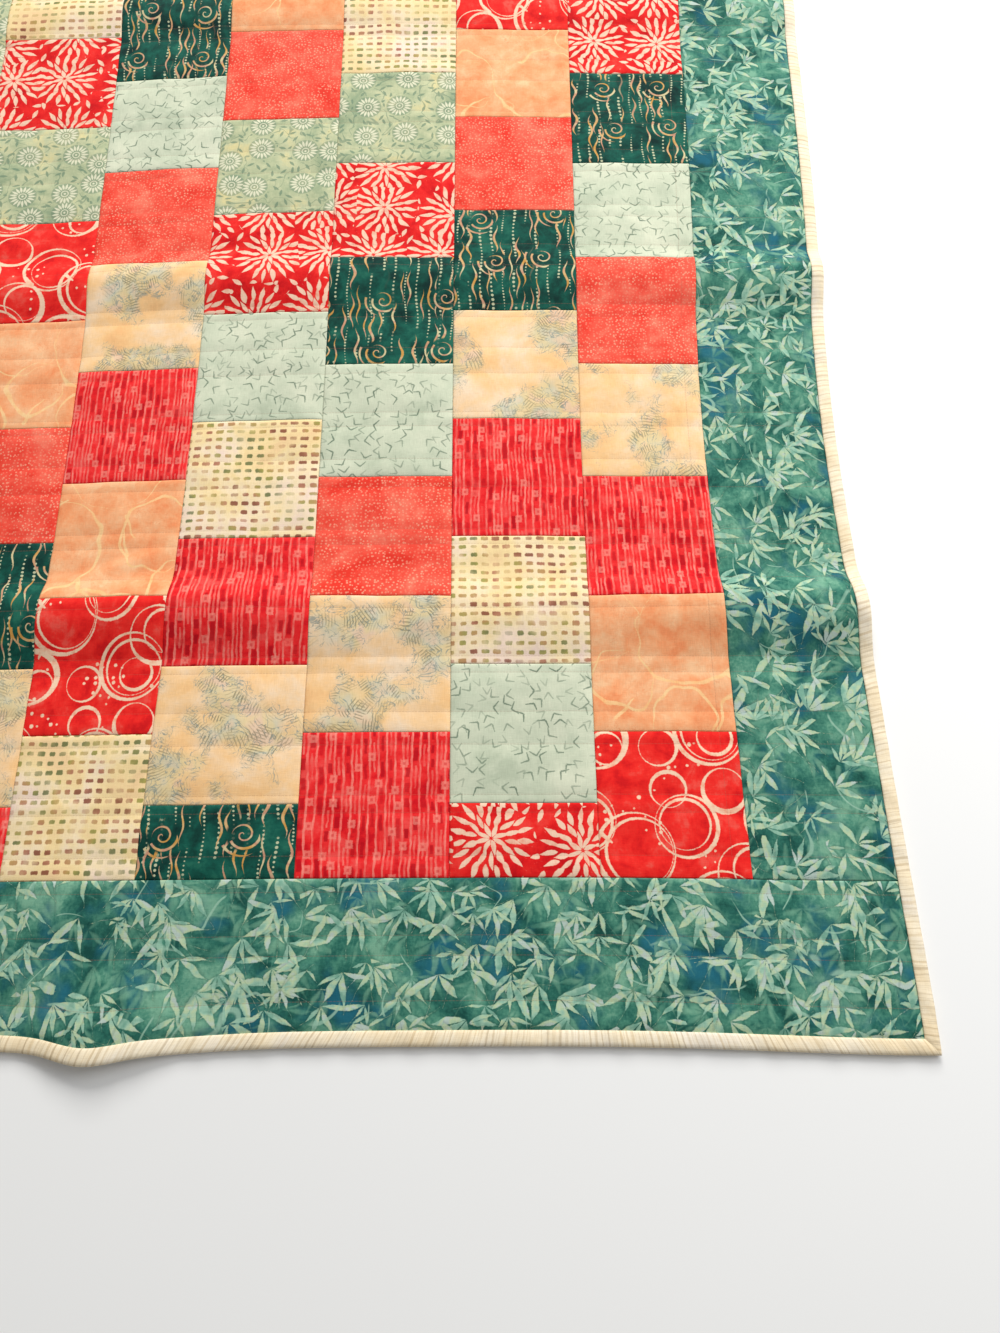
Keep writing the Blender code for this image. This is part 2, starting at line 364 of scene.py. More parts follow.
# a value on its way through a node tree: arithmetic on it adds Math nodes
class wire:
    def __init__(self, tree, socket):
        self.tree = tree
        self.socket = socket

    def __add__(self, other):
        return calc("ADD", self, other)

    def __sub__(self, other):
        return calc("SUBTRACT", self, other)

    def __rsub__(self, other):
        return calc("SUBTRACT", other, self)

    def __mul__(self, other):
        return calc("MULTIPLY", self, other)

    def __truediv__(self, other):
        return calc("DIVIDE", self, other)

    def __rtruediv__(self, other):
        return calc("DIVIDE", other, self)

    def __pow__(self, other):
        return calc("POWER", self, other)

    __radd__ = __add__
    __rmul__ = __mul__


# a new node with its settings
def newNode(tree, kind, **settings):
    node = tree.nodes.new(kind)
    for key, value in settings.items():
        setattr(node, key, value)
    return node


# a wire is linked to the socket, and any other value is set on it
def feed(socket, value):
    if isinstance(value, wire):
        value.tree.links.new(value.socket, socket)
    else:
        socket.default_value = value


# the node tree that any wire among the values belongs to
def treeOf(values):
    return next(value.tree for value in values if isinstance(value, wire))


# one Math node on wires and numbers
def calc(operation, *values, clamp=False):
    tree = treeOf(values)
    node = newNode(tree, "ShaderNodeMath", operation=operation, use_clamp=clamp)
    for socket, value in zip(node.inputs, values):
        feed(socket, value)
    return wire(tree, node.outputs[0])


# vector arithmetic, with a number out for a length or a dot product
def vectorCalc(operation, *values):
    tree = treeOf(values)
    node = newNode(tree, "ShaderNodeVectorMath", operation=operation)
    for socket, value in zip(node.inputs, values):
        feed(socket, value)
    single = operation in ("LENGTH", "DOT_PRODUCT", "DISTANCE")
    return wire(tree, node.outputs["Value" if single else "Vector"])


# a place times a number
def scaled(place, share):
    tree = place.tree
    node = newNode(tree, "ShaderNodeVectorMath", operation="SCALE")
    feed(node.inputs[0], place)
    feed(node.inputs["Scale"], share)
    return wire(tree, node.outputs["Vector"])


# a place's x, y and z, or a colour's three parts
def split(place):
    node = newNode(place.tree, "ShaderNodeSeparateXYZ")
    feed(node.inputs[0], place)
    return [wire(place.tree, socket) for socket in node.outputs]


# a place made from its parts
def join(x, y, z=0.0):
    tree = treeOf((x, y, z))
    node = newNode(tree, "ShaderNodeCombineXYZ")
    for socket, value in zip(node.inputs, (x, y, z)):
        feed(socket, value)
    return wire(tree, node.outputs[0])


# a place turned about the upright by an angle in radians
def turned(place, angle):
    node = newNode(place.tree, "ShaderNodeVectorRotate", rotation_type="Z_AXIS")
    feed(node.inputs["Vector"], place)
    feed(node.inputs["Angle"], angle)
    return wire(place.tree, node.outputs[0])


# noise of 0 to 1 about 0.5, its features this many mm across
def noiseOf(place, size, detail=2.0, roughness=0.5, distortion=0.0, seed=0.0):
    node = newNode(place.tree, "ShaderNodeTexNoise", noise_dimensions="3D")
    shifted = vectorCalc("ADD", place, (0.0, 0.0, seed * size)) if seed else place
    feed(node.inputs["Vector"], shifted)
    feed(node.inputs["Scale"], 1.0 / size)
    feed(node.inputs["Detail"], detail)
    feed(node.inputs["Roughness"], roughness)
    feed(node.inputs["Distortion"], distortion)
    return wire(place.tree, node.outputs[0])


# random colours, one for each whole number or pair of them
def chanceOf(place):
    node = newNode(place.tree, "ShaderNodeTexWhiteNoise", noise_dimensions="2D")
    feed(node.inputs["Vector"], place)
    return split(wire(place.tree, node.outputs["Color"]))


# 0 below low, 1 above high, eased between; low over high turns it round
def ease(value, low, high):
    node = newNode(value.tree, "ShaderNodeMapRange", interpolation_type="SMOOTHSTEP")
    feed(node.inputs["Value"], value)
    feed(node.inputs["From Min"], low)
    feed(node.inputs["From Max"], high)
    return wire(value.tree, node.outputs["Result"])


# 1 inside a shape and 0 outside, from its distance in mm, negative inside
def inside(distance, soft=0.5):
    return ease(distance, soft / 2, -soft / 2)


# the greatest of the values, and below it the least
def atLeast(*values):
    result = values[0]
    for value in values[1:]:
        result = calc("MAXIMUM", result, value)
    return result


def atMost(*values):
    result = values[0]
    for value in values[1:]:
        result = calc("MINIMUM", result, value)
    return result


# screen colour as 0 to 255 to the linear colour that a shader takes
def dyed(colour, share=1.0):
    if isinstance(colour, wire):
        return colour
    parts = np.array(colour) / 255
    linear = np.where(parts <= 0.04045, parts / 12.92, ((parts + 0.055) / 1.055) ** 2.4)
    return (*(linear * share).tolist(), 1.0)


# first colour where the share is 0, second where it is 1
def mixed(share, first, second, blend="MIX"):
    tree = treeOf((share, first, second))
    node = newNode(tree, "ShaderNodeMix", data_type="RGBA", blend_type=blend)
    feed(node.inputs[0], share)
    feed(node.inputs[6], dyed(first))
    feed(node.inputs[7], dyed(second))
    return wire(tree, node.outputs[2])


# colours spread evenly between two values, blended where they meet
def dyeRamp(value, colours, low=0.32, high=0.68):
    node = newNode(value.tree, "ShaderNodeValToRGB")
    feed(node.inputs[0], value)
    stops = node.color_ramp.elements
    while len(stops) < len(colours):
        stops.new(0.5)
    for stop, colour, place in zip(stops, colours, np.linspace(low, high, len(colours))):
        stop.position = place
        stop.color = dyed(colour)
    return wire(value.tree, node.outputs[0])


socketKinds = {"v": "NodeSocketVector", "f": "NodeSocketFloat"}


# a shader node group; each input and output is its name, with v for a vector or f for a number
def newGroup(name, inputs, outputs, build):
    tree = bpy.data.node_groups.new(name, "ShaderNodeTree")
    for sockets, way in ((inputs, "INPUT"), (outputs, "OUTPUT")):
        for label, kind in (socket.split(":") for socket in sockets.split()):
            tree.interface.new_socket(name=label, in_out=way, socket_type=socketKinds[kind])
    entry = tree.nodes.new("NodeGroupInput")
    leaving = tree.nodes.new("NodeGroupOutput")
    results = build(*[wire(tree, socket) for socket in list(entry.outputs)[:len(inputs.split())]])
    for socket, result in zip(leaving.inputs, results):
        feed(socket, result)
    return tree


# the group placed in a tree with its own values; gives its outputs in order
def useGroup(group, **values):
    tree = treeOf(values.values())
    node = newNode(tree, "ShaderNodeGroup", node_tree=group)
    for label, value in values.items():
        feed(node.inputs[label], value)
    results = [wire(tree, socket) for socket in node.outputs]
    return results[0] if len(results) == 1 else results


# plain cotton: two noises drawn out along the warp and the weft, crossed; its Shade is painted shade, darker
# where the threads lie low, plus the threads' own uneven tone from the slub noise
def buildWeave(place):
    x, y, _ = split(place)
    warp = noiseOf(join(x * 2.1, y * 0.14), 1.0, detail=1)
    weft = noiseOf(join(x * 0.14, y * 2.1), 1.0, detail=1, seed=7)
    thread = warp + weft - 1.0
    slub = noiseOf(join(x * 0.9, y * 0.05), 1.0, detail=1, seed=3)
    # painted shade: the colour follows the threads' height and is darker between them; the slub term is the
    # threads' own tone
    paintedShadeAndSlub = 1.0 + thread * 0.22 + (slub - 0.5) * 0.10
    return paintedShadeAndSlub, thread


# hand-dyed ground: a broad cloudy noise, a middle one and fine flecks
def buildMottle(place, size):
    cloud = noiseOf(scaled(place, 1.0 / size), 1.0, detail=4, roughness=0.62, distortion=0.5)
    bloom = noiseOf(scaled(place, 2.6 / size), 1.0, detail=3, roughness=0.6, seed=11)
    fleck = noiseOf(place, 2.2, detail=2, roughness=0.6, seed=5)
    return cloud, bloom, fleck


# sewn line in mm: half length of a stitch with its hole, half width of thread, reach of the dip
stitchShape = {"half": 1.3, "thread": 0.32, "dip": 1.1}


# sewn line: short thread dashes on it, each sunk at its ends
def buildStitch(across, up):
    thread, sunk = 0.0, 0.0
    for place in (across, up):
        run, gap, _ = split(place)
        beat = calc("PINGPONG", run * 1000, stitchShape["half"])
        lone = inside(gap * 1000 - stitchShape["thread"], 0.3) * ease(beat, 0.16, 0.34)
        near = inside(gap * 1000 - stitchShape["dip"], 1.5)
        thread = lone + thread
        sunk = near * (1.0 - lone * 0.8) + sunk
    return calc("MINIMUM", thread, 1.0), sunk


# cells of about one pitch: place in mm from the cell's point, and three chances
def buildScatter(place, pitch, loose):
    tree = place.tree
    node = newNode(tree, "ShaderNodeTexVoronoi", voronoi_dimensions="2D", feature="F1")
    feed(node.inputs["Vector"], scaled(place, 1.0 / pitch))
    feed(node.inputs["Scale"], 1.0)
    feed(node.inputs["Randomness"], loose)
    middle = scaled(wire(tree, node.outputs["Position"]), pitch)
    chance = wire(tree, node.outputs["Color"])
    flat = vectorCalc("MULTIPLY", place, (1.0, 1.0, 0.0))
    return vectorCalc("SUBTRACT", flat, middle), chance, middle


# wax edge: distance roughened by noise, then eased from 1 inside to 0 outside
def buildWaxEdge(distance, place, rough, soft):
    uneven = noiseOf(place, 1.6, detail=2) - 0.5
    return (ease(distance + uneven * rough, soft * 0.5, soft * -0.5),)


# place from the nearest repeat of a point, where the print repeats by this tile
def repeated(place, tile, point):
    half = scaled(tile, 0.5)
    local = vectorCalc("WRAP", vectorCalc("SUBTRACT", place, point), half, scaled(half, -1.0))
    return vectorCalc("MULTIPLY", local, (1.0, 1.0, 0.0))


# brushed ring: distance from a circle less half its line, which is fat on one side
def buildBrushRing(place, tile, middle, radius, line, lean):
    local = repeated(place, tile, middle)
    out = vectorCalc("LENGTH", local)
    leaning = vectorCalc("DOT_PRODUCT", local, lean) / atLeast(out, 0.01)
    half = line * (0.5 + 0.5 * leaning)
    return (calc("ABSOLUTE", out - radius) - half,)


# brushed stroke: distance from a straight segment less its half width, narrowing to one end
def buildBrushStroke(place, tile, start, reach, line):
    local = repeated(place, tile, start)
    square = vectorCalc("DOT_PRODUCT", reach, reach)
    share = calc("DIVIDE", vectorCalc("DOT_PRODUCT", local, reach), square, clamp=True)
    foot = scaled(reach, share)
    return (vectorCalc("DISTANCE", local, foot) - line * (1.0 - 0.6 * share),)


# ring of petals: the angle folded to the nearest petal, its half width a sine from root to tip
def buildPetals(local, inner, outer, count, fat, turn):
    x, y, _ = split(local)
    out = vectorCalc("LENGTH", local)
    share = calc("FRACT", (calc("ARCTAN2", y, x) + turn) * count / fullTurn) - 0.5
    beside = calc("ABSOLUTE", out * calc("SINE", share * fullTurn / count))
    run = calc("DIVIDE", out - inner, outer - inner, clamp=True)
    half = fat * calc("SINE", (run**0.8) * math.pi) - 0.25
    return (beside - half,)


fanShape = {
    "sway": 0.4,  # how far a leaf stands from its even place, as a share of the spread
    "shortest": 0.52,  # shortest leaf, as a share of the longest
    "half": 0.094,  # half width, as a share of the length
    "point": 1.2,  # power that draws the ends out
    "dropped": 0.32,  # share of the leaves left out
}


# fan of pointed leaves about straight down: the nearest leaf's own line, length and width
def buildLeafFan(local, size, spread, leaves, seed):
    x, y, _ = split(local)
    out = vectorCalc("LENGTH", local)
    angle = calc("ARCTAN2", x, y * -1.0)
    which = atLeast(atMost(calc("ROUND", angle / spread), leaves), leaves * -1.0)
    odd, longer, kept = chanceOf(join(which + seed * 37.0, seed * 91.0))
    bent = angle - (which + (odd - 0.5) * fanShape["sway"]) * spread
    length = size * (fanShape["shortest"] + (1 - fanShape["shortest"]) * longer)
    run = calc("DIVIDE", out, length, clamp=True)
    half = length * fanShape["half"] * calc("SINE", run * math.pi) ** fanShape["point"] - 0.08
    half = half - 6.0 * ease(kept, fanShape["dropped"] + 0.02, fanShape["dropped"] - 0.02)
    facing = calc("COSINE", bent)
    beside = calc("ABSOLUTE", out * calc("SINE", bent)) + 20.0 * ease(facing, 0.3, -0.3)
    return (beside - half,)


cottonWeave = newGroup("cottonWeave", "Place:v", "Shade:f Height:f", buildWeave)
dyeMottle = newGroup("dyeMottle", "Place:v Size:f", "Cloud:f Bloom:f Fleck:f", buildMottle)
quiltStitch = newGroup("quiltStitch", "Across:v Up:v", "Thread:f Sunk:f", buildStitch)
scatterCells = newGroup("scatterCells", "Place:v Pitch:f Loose:f", "Local:v Chance:v Middle:v", buildScatter)
waxEdge = newGroup("waxEdge", "Distance:f Place:v Rough:f Soft:f", "Mask:f", buildWaxEdge)
brushRing = newGroup("brushRing", "Place:v Tile:v Middle:v Radius:f Line:f Lean:v", "Distance:f",
                     buildBrushRing)
brushStroke = newGroup("brushStroke", "Place:v Tile:v Start:v Reach:v Line:f", "Distance:f", buildBrushStroke)
petalRing = newGroup("petalRing", "Local:v Inner:f Outer:f Count:f Fat:f Turn:f", "Distance:f", buildPetals)
leafFan = newGroup("leafFan", "Local:v Size:f Spread:f Leaves:f Seed:f", "Distance:f", buildLeafFan)
print("node groups made")


# cells of a scatter with a clear way to their parts
def scatter(place, pitch, loose, seed=0.0):
    moved = vectorCalc("ADD", place, (seed * 71.3, seed * 37.9, 0.0))
    local, chance, middle = useGroup(scatterCells, Place=moved, Pitch=pitch, Loose=loose)
    return local, split(chance), vectorCalc("SUBTRACT", middle, (seed * 71.3, seed * 37.9, 0.0))


# mask of a printed shape with a wax edge, from its distance in mm
def waxed(distance, place, rough=0.9, soft=0.6):
    return useGroup(waxEdge, Distance=distance, Place=place, Rough=rough, Soft=soft)


# hand-dyed ground colour: a ramp over the clouds, nudged by the finer noises
def groundColour(place, colours, size=38.0, flecks=0.10):
    cloud, bloom, fleck = useGroup(dyeMottle, Place=place, Size=size)
    value = cloud + (bloom - 0.5) * 0.45 + (fleck - 0.5) * flecks
    return dyeRamp(value, colours)


# red print of brushed rings: a listed repeat, sizes in mm; lean is the side the line is fat on
ringPrint = {
    "ground": [(216, 20, 24), (240, 34, 30), (248, 48, 40), (246, 84, 72)],
    "wax": [(244, 168, 134), (252, 216, 184)],
    "specks": 8.5,
    "tile": (152.0, 138.0, 0.0),
    "leaning": 0.75,  # how much fatter the line is on one side
    "rings": [
        dict(x=30, y=34, radius=28, line=2.0, lean=200),
        dict(x=31, y=33, radius=23.5, line=1.3, lean=120),
        dict(x=34, y=28, radius=14, line=1.7, lean=300),
        dict(x=50, y=60, radius=23, line=3.0, lean=-40),
        dict(x=56, y=63, radius=17, line=1.4, lean=90),
        dict(x=92, y=26, radius=23, line=3.1, lean=30),
        dict(x=99, y=19, radius=13, line=1.6, lean=150),
        dict(x=118, y=76, radius=30, line=2.2, lean=215),
        dict(x=121, y=76, radius=25.5, line=1.4, lean=160),
        dict(x=78, y=100, radius=26, line=1.6, lean=180),
        dict(x=80, y=98, radius=21, line=1.4, lean=20),
        dict(x=6, y=96, radius=24, line=1.8, lean=-20),
        dict(x=5, y=97, radius=19.5, line=1.4, lean=70),
        dict(x=38, y=124, radius=17, line=2.5, lean=250),
        dict(x=146, y=124, radius=14, line=1.8, lean=90),
        dict(x=140, y=20, radius=15, line=1.6, lean=10),
    ],
    "strokes": [
        dict(x=62, y=81, toX=-8, toY=10, line=1.7),
        dict(x=100, y=52, toX=-3, toY=-9, line=1.8),
        dict(x=92, y=90, toX=8, toY=-7, line=1.9),
    ],
}


# distances in mm from a plan's rings and strokes
def brushed(place, plan):
    distances = []
    for ring in plan["rings"]:
        lean = math.radians(ring["lean"])
        distances.append(useGroup(brushRing, Place=place, Tile=plan["tile"],
                                  Middle=(ring["x"], ring["y"], 0.0), Radius=float(ring["radius"]),
                                  Line=float(ring["line"]), Lean=(math.cos(lean) * plan["leaning"],
                                                                  math.sin(lean) * plan["leaning"], 0.0)))
    for stroke in plan["strokes"]:
        distances.append(useGroup(brushStroke, Place=place, Tile=plan["tile"],
                                  Start=(stroke["x"], stroke["y"], 0.0),
                                  Reach=(stroke["toX"], stroke["toY"], 0.0), Line=stroke["line"]))
    return distances


# rings and strokes in wax, with specks where the noise at their cell is low, on the red ground
def ringCotton(place, plan):
    distances = brushed(place, plan)
    local, chances, middle = scatter(place, plan["specks"], 0.6, seed=4.0)
    speck = vectorCalc("LENGTH", local) - (0.7 + 1.0 * chances[0])
    distances.append(speck + 9.0 * ease(noiseOf(middle, 34.0, detail=1, seed=2), 0.60, 0.54))
    line = waxed(atMost(*distances), place, rough=1.3, soft=0.7)
    ground = groundColour(place, plan["ground"], size=24.0)
    pale = dyeRamp(noiseOf(place, 7.0, detail=3), plan["wax"], 0.25, 0.5)
    return mixed(line, ground, pale)


# peach print of big brushed leaf outlines
leafPrint = {
    "ground": [(244, 150, 98), (248, 168, 116), (250, 182, 132), (252, 198, 150)],
    "wax": [(252, 196, 132), (253, 216, 158)],
    "vein": (238, 142, 92),
    "tile": (176.0, 160.0, 0.0),
    "leaning": 1.0,
    "rings": [
        dict(x=30, y=96, radius=46, line=2.0, lean=-50),
        dict(x=84, y=10, radius=40, line=1.5, lean=80),
        dict(x=128, y=104, radius=34, line=1.6, lean=160),
        dict(x=150, y=56, radius=26, line=1.8, lean=230),
        dict(x=18, y=22, radius=24, line=1.5, lean=60),
    ],
    "strokes": [
        dict(x=62, y=62, toX=40, toY=-44, line=1.9),
        dict(x=104, y=82, toX=-10, toY=34, line=1.7),
        dict(x=48, y=28, toX=-5, toY=-20, line=2.0),
        dict(x=140, y=20, toX=16, toY=24, line=1.6),
        dict(x=10, y=128, toX=30, toY=16, line=1.5),
        dict(x=96, y=120, toX=12, toY=-18, line=1.4),
    ],
}


# the outlines laid over a place bent by slow noise, and thin veins where a noise crosses its middle
def leafCotton(place, plan):
    wavy = join(noiseOf(place, 34.0, detail=1) * 26.0, noiseOf(place, 30.0, detail=1, seed=9) * 26.0)
    bent = vectorCalc("ADD", place, wavy)
    line = waxed(atMost(*brushed(bent, plan)), place, rough=1.4, soft=1.1)
    ground = groundColour(place, plan["ground"], size=34.0, flecks=0.16)
    branch = calc("ABSOLUTE", noiseOf(place, 15.0, detail=3, distortion=1.2) - 0.5)
    thin = ease(branch, 0.014, 0.0) * ease(noiseOf(place, 30.0, seed=4), 0.48, 0.6)
    ground = mixed(thin * 0.55, ground, plan["vein"])
    pale = dyeRamp(noiseOf(place, 9.0, detail=2), plan["wax"], 0.3, 0.6)
    return mixed(line * 0.8, ground, pale)


# red print of wobbling upright lines with dark dashes between them, and small boxes
barPrint = {
    "ground": [(214, 12, 28), (238, 32, 36), (246, 50, 50), (249, 78, 74)],
    "bar": [(248, 98, 90), (255, 150, 134)],
    "dark": (186, 2, 22),
    "pitch": 6.6,
    "boxes": 17.0,
}


# lanes of one pitch, drifting with noise: light at their edges, dashes of random length inside
def barCotton(place, plan):
    x, y, _ = split(place)
    drift = (noiseOf(join(x * 0.3, y * 0.5), 26.0, detail=1) - 0.5) * 7.0
    quiver = (noiseOf(join(x * 1.2, y), 7.0, detail=2, seed=4) - 0.5) * 2.0
    across = (x + drift + quiver) / plan["pitch"]
    which = calc("FLOOR", across)
    odd, fat, start = chanceOf(join(which, 3.0))
    local = calc("ABSOLUTE", calc("FRACT", across) - 0.5)
    run = y / (11.0 + 15.0 * odd) + start * 9.0
    kind, light, shift = chanceOf(join(which, calc("FLOOR", run)))
    ends = calc("ABSOLUTE", calc("FRACT", run) - 0.5)
    swell = (noiseOf(join(x * 0.6, y * 0.3), 2.6, detail=2, seed=2) - 0.5) * 0.34
    line = ease(0.5 - local + swell * 0.5, 0.17, 0.07) * (0.55 + 0.45 * light)
    middle = ease(local + swell, 0.15, 0.07) * ease(kind, 0.70, 0.76) * 0.55
    dark = ease(local + swell * 0.6, 0.20 + 0.12 * fat, 0.11 + 0.12 * fat) * ease(ends, 0.34, 0.26)
    dark = dark * ease(kind, 0.52, 0.48) * (0.45 + 0.55 * shift)
    ground = groundColour(place, plan["ground"], size=24.0)
    pale = dyeRamp(noiseOf(place, 9.0, detail=2, seed=6), plan["bar"], 0.35, 0.65)
    colour = mixed(atLeast(line, middle), ground, pale)
    colour = mixed(dark * 0.9, colour, plan["dark"])
    boxLocal, chances, _ = scatter(place, plan["boxes"], 0.8, seed=2.0)
    boxX, boxY, _ = split(boxLocal)
    box = calc("MAXIMUM", calc("ABSOLUTE", boxX) * 0.9, calc("ABSOLUTE", boxY) * 0.8)
    shown = ease(chances[0], 0.30, 0.35)
    colour = mixed(waxed(box - 2.5, place, rough=1.8, soft=0.9) * shown * 0.55, colour, plan["bar"][1])
    return mixed(waxed(box - 0.9, place, rough=0.9, soft=0.7) * shown * 0.55, colour, plan["ground"][0])


# cream print of small brushed blocks in rows
blockPrint = {
    "ground": [(247, 212, 160), (251, 224, 166), (252, 230, 190), (250, 224, 206)],
    "block": [(134, 62, 44), (180, 112, 88), (186, 146, 86), (158, 152, 72), (100, 112, 64)],
    "pitchX": 9.3,
    "pitchY": 7.8,
}


# one rounded block for each cell of a swayed grid, its size and tone by chance
def blockCotton(place, plan):
    x, y, _ = split(place)
    swayX = x + (noiseOf(place, 44.0, detail=1) - 0.5) * 5.0
    swayY = y + (noiseOf(place, 38.0, detail=1, seed=5) - 0.5) * 4.5
    column, row = swayX / plan["pitchX"], swayY / plan["pitchY"]
    odd, fat, tall = chanceOf(join(calc("FLOOR", column), calc("FLOOR", row)))
    localX = calc("ABSOLUTE", calc("FRACT", column) - 0.5) * plan["pitchX"]
    localY = calc("ABSOLUTE", calc("FRACT", row) - 0.5) * plan["pitchY"]
    overX = atLeast(localX - (1.2 + 1.0 * fat), 0.0)
    overY = atLeast(localY - (0.1 + 0.7 * tall), 0.0)
    corner = calc("SQRT", overX * overX + overY * overY) - 1.25
    mask = waxed(corner, place, rough=1.4, soft=0.9)
    tone = noiseOf(place, 46.0, detail=2, seed=8) + (odd - 0.5) * 0.12
    block = dyeRamp(tone, plan["block"], 0.36, 0.62)
    ground = groundColour(place, plan["ground"], size=80.0)
    strength = 0.34 + 0.56 * ease(noiseOf(place, 24.0, detail=3, seed=6) + (tall - 0.5) * 0.2, 0.32, 0.58)
    return mixed(mask * strength, ground, block)


# cream print with clusters of short hatching and twigs here and there
hatchPrint = {
    "ground": [(248, 194, 134), (252, 205, 146), (253, 214, 166), (250, 223, 190)],
    "stain": [(230, 204, 184), (228, 214, 166), (210, 208, 164), (186, 206, 190), (216, 204, 186)],
    "hatch": (122, 116, 92),
    "twig": (132, 150, 146),
    "cluster": 62.0,
    "hatching": [
        dict(seed=1.0, pitch=22.0, gap=2.5),
        dict(seed=4.0, pitch=26.0, gap=3.0),
        dict(seed=6.0, pitch=17.0, gap=2.2),
    ],
}


# parallel lines in each cell, turned by chance, shown where a slow noise is high, over soft stains
def hatchCotton(place, plan):
    ground = groundColour(place, plan["ground"], size=62.0)
    cluster = noiseOf(place, plan["cluster"], detail=2, roughness=0.55, seed=3)
    near = ease(cluster, 0.48, 0.56)
    stain = dyeRamp(noiseOf(place, 24.0, detail=2, seed=14), plan["stain"], 0.34, 0.66)
    ground = mixed(ease(cluster, 0.47, 0.60) * 0.6, ground, stain)
    hatching = 0.0
    for layer in plan["hatching"]:
        local, chances, _ = scatter(place, layer["pitch"], 0.9, seed=layer["seed"])
        lx, ly, _ = split(turned(local, chances[0] * fullTurn))
        bow = ly + lx * lx * 0.004 + (noiseOf(place, 8.0, detail=1, seed=8) - 0.5) * 2.0
        line = calc("ABSOLUTE", calc("FRACT", bow / layer["gap"]) - 0.5) * layer["gap"]
        length = 0.24 * layer["pitch"] * (0.5 + 0.8 * chances[1])
        ragged = (chanceOf(join(calc("FLOOR", bow / layer["gap"]), chances[2] * 61.0))[0] - 0.5) * 4.0
        reach = inside(calc("ABSOLUTE", lx + ragged) - length, 2.4)
        reach = reach * inside(calc("ABSOLUTE", ly) - layer["pitch"] * 0.34, 2.0)
        hatching = atLeast(ease(line, 0.68, 0.18) * reach * (0.25 + 0.75 * chances[2]), hatching)
    branch = calc("ABSOLUTE", noiseOf(place, 15.0, detail=3, roughness=0.55, distortion=1.6, seed=12) - 0.5)
    twigs = ease(branch, 0.022, 0.006) * ease(cluster, 0.46, 0.52)
    colour = mixed(twigs * 0.7, ground, plan["twig"])
    return mixed(hatching * near * 0.72, colour, plan["hatch"])


# coral print of close-set tiny dots
dotPrint = {
    "ground": [(234, 56, 40), (245, 78, 60), (250, 96, 76), (252, 122, 98)],
    "dot": (255, 178, 146),
    "pitch": 3.2,
}


# one dot for each cell, stronger where a noise is high
def dotCotton(place, plan):
    ground = groundColour(place, plan["ground"], size=42.0)
    local, chances, _ = scatter(place, plan["pitch"], 0.85)
    spot = inside(vectorCalc("LENGTH", local) - (0.50 + 0.42 * chances[0]), 0.6)
    strength = 0.22 + 0.50 * ease(noiseOf(place, 20.0, detail=3, seed=2), 0.38, 0.60)
    return mixed(spot * strength, ground, plan["dot"])


# sage print of small bent strokes set round wide centres
strokePrint = {
    "ground": [(192, 202, 176), (206, 214, 188), (214, 220, 194), (222, 226, 200)],
    "stroke": (88, 112, 92),
    "pitch": 13.6,
    "arm": 7.6,
}


# two arms from a point, opened by an angle, aimed away from the nearest wide centre
def strokeCotton(place, plan):
    ground = groundColour(place, plan["ground"], size=52.0)
    arm = plan["arm"]
    marks = 0.0
    for seed in (1.0, 3.0):
        local, chances, middle = scatter(place, plan["pitch"], 0.55, seed=seed)
        star, _, _ = scatter(middle, 52.0, 0.35, seed=5.0)
        starX, starY, _ = split(star)
        aim = calc("ARCTAN2", starY, starX) + (chances[0] - 0.5) * 1.2
        lx, ly, _ = split(turned(local, aim * -1.0))
        lx, ly = lx + arm * 0.45, calc("ABSOLUTE", ly)
        opening = 0.42 + 0.55 * chances[1]
        run = lx * calc("COSINE", opening) + ly * calc("SINE", opening)
        beside = calc("ABSOLUTE", lx * calc("SINE", opening) - ly * calc("COSINE", opening))
        limit = calc("ABSOLUTE", run - arm * 0.45) - arm * 0.45
        thick = 0.35 + 0.35 * ease(run, arm, 0.0)
        mark = waxed(atLeast(beside - thick, limit), place, rough=0.9, soft=0.7)
        shown = ease(chances[2], 0.10, 0.14) if seed == 1.0 else ease(chances[2], 0.36, 0.40)
        marks = atLeast(mark * shown * (0.35 + 0.65 * chances[1]), marks)
    return mixed(marks * 0.85, ground, plan["stroke"])


# deep teal print of bead strings, flames and curls
flamePrint = {
    "ground": [(2, 44, 40), (8, 66, 56), (14, 88, 74), (36, 108, 88)],
    "flame": [(214, 158, 78), (226, 184, 126), (210, 150, 124), (222, 206, 158)],
    "bead": (206, 210, 172),
    "beads": 10.5,
    "flames": 13.0,
    "curls": 58.0,
}


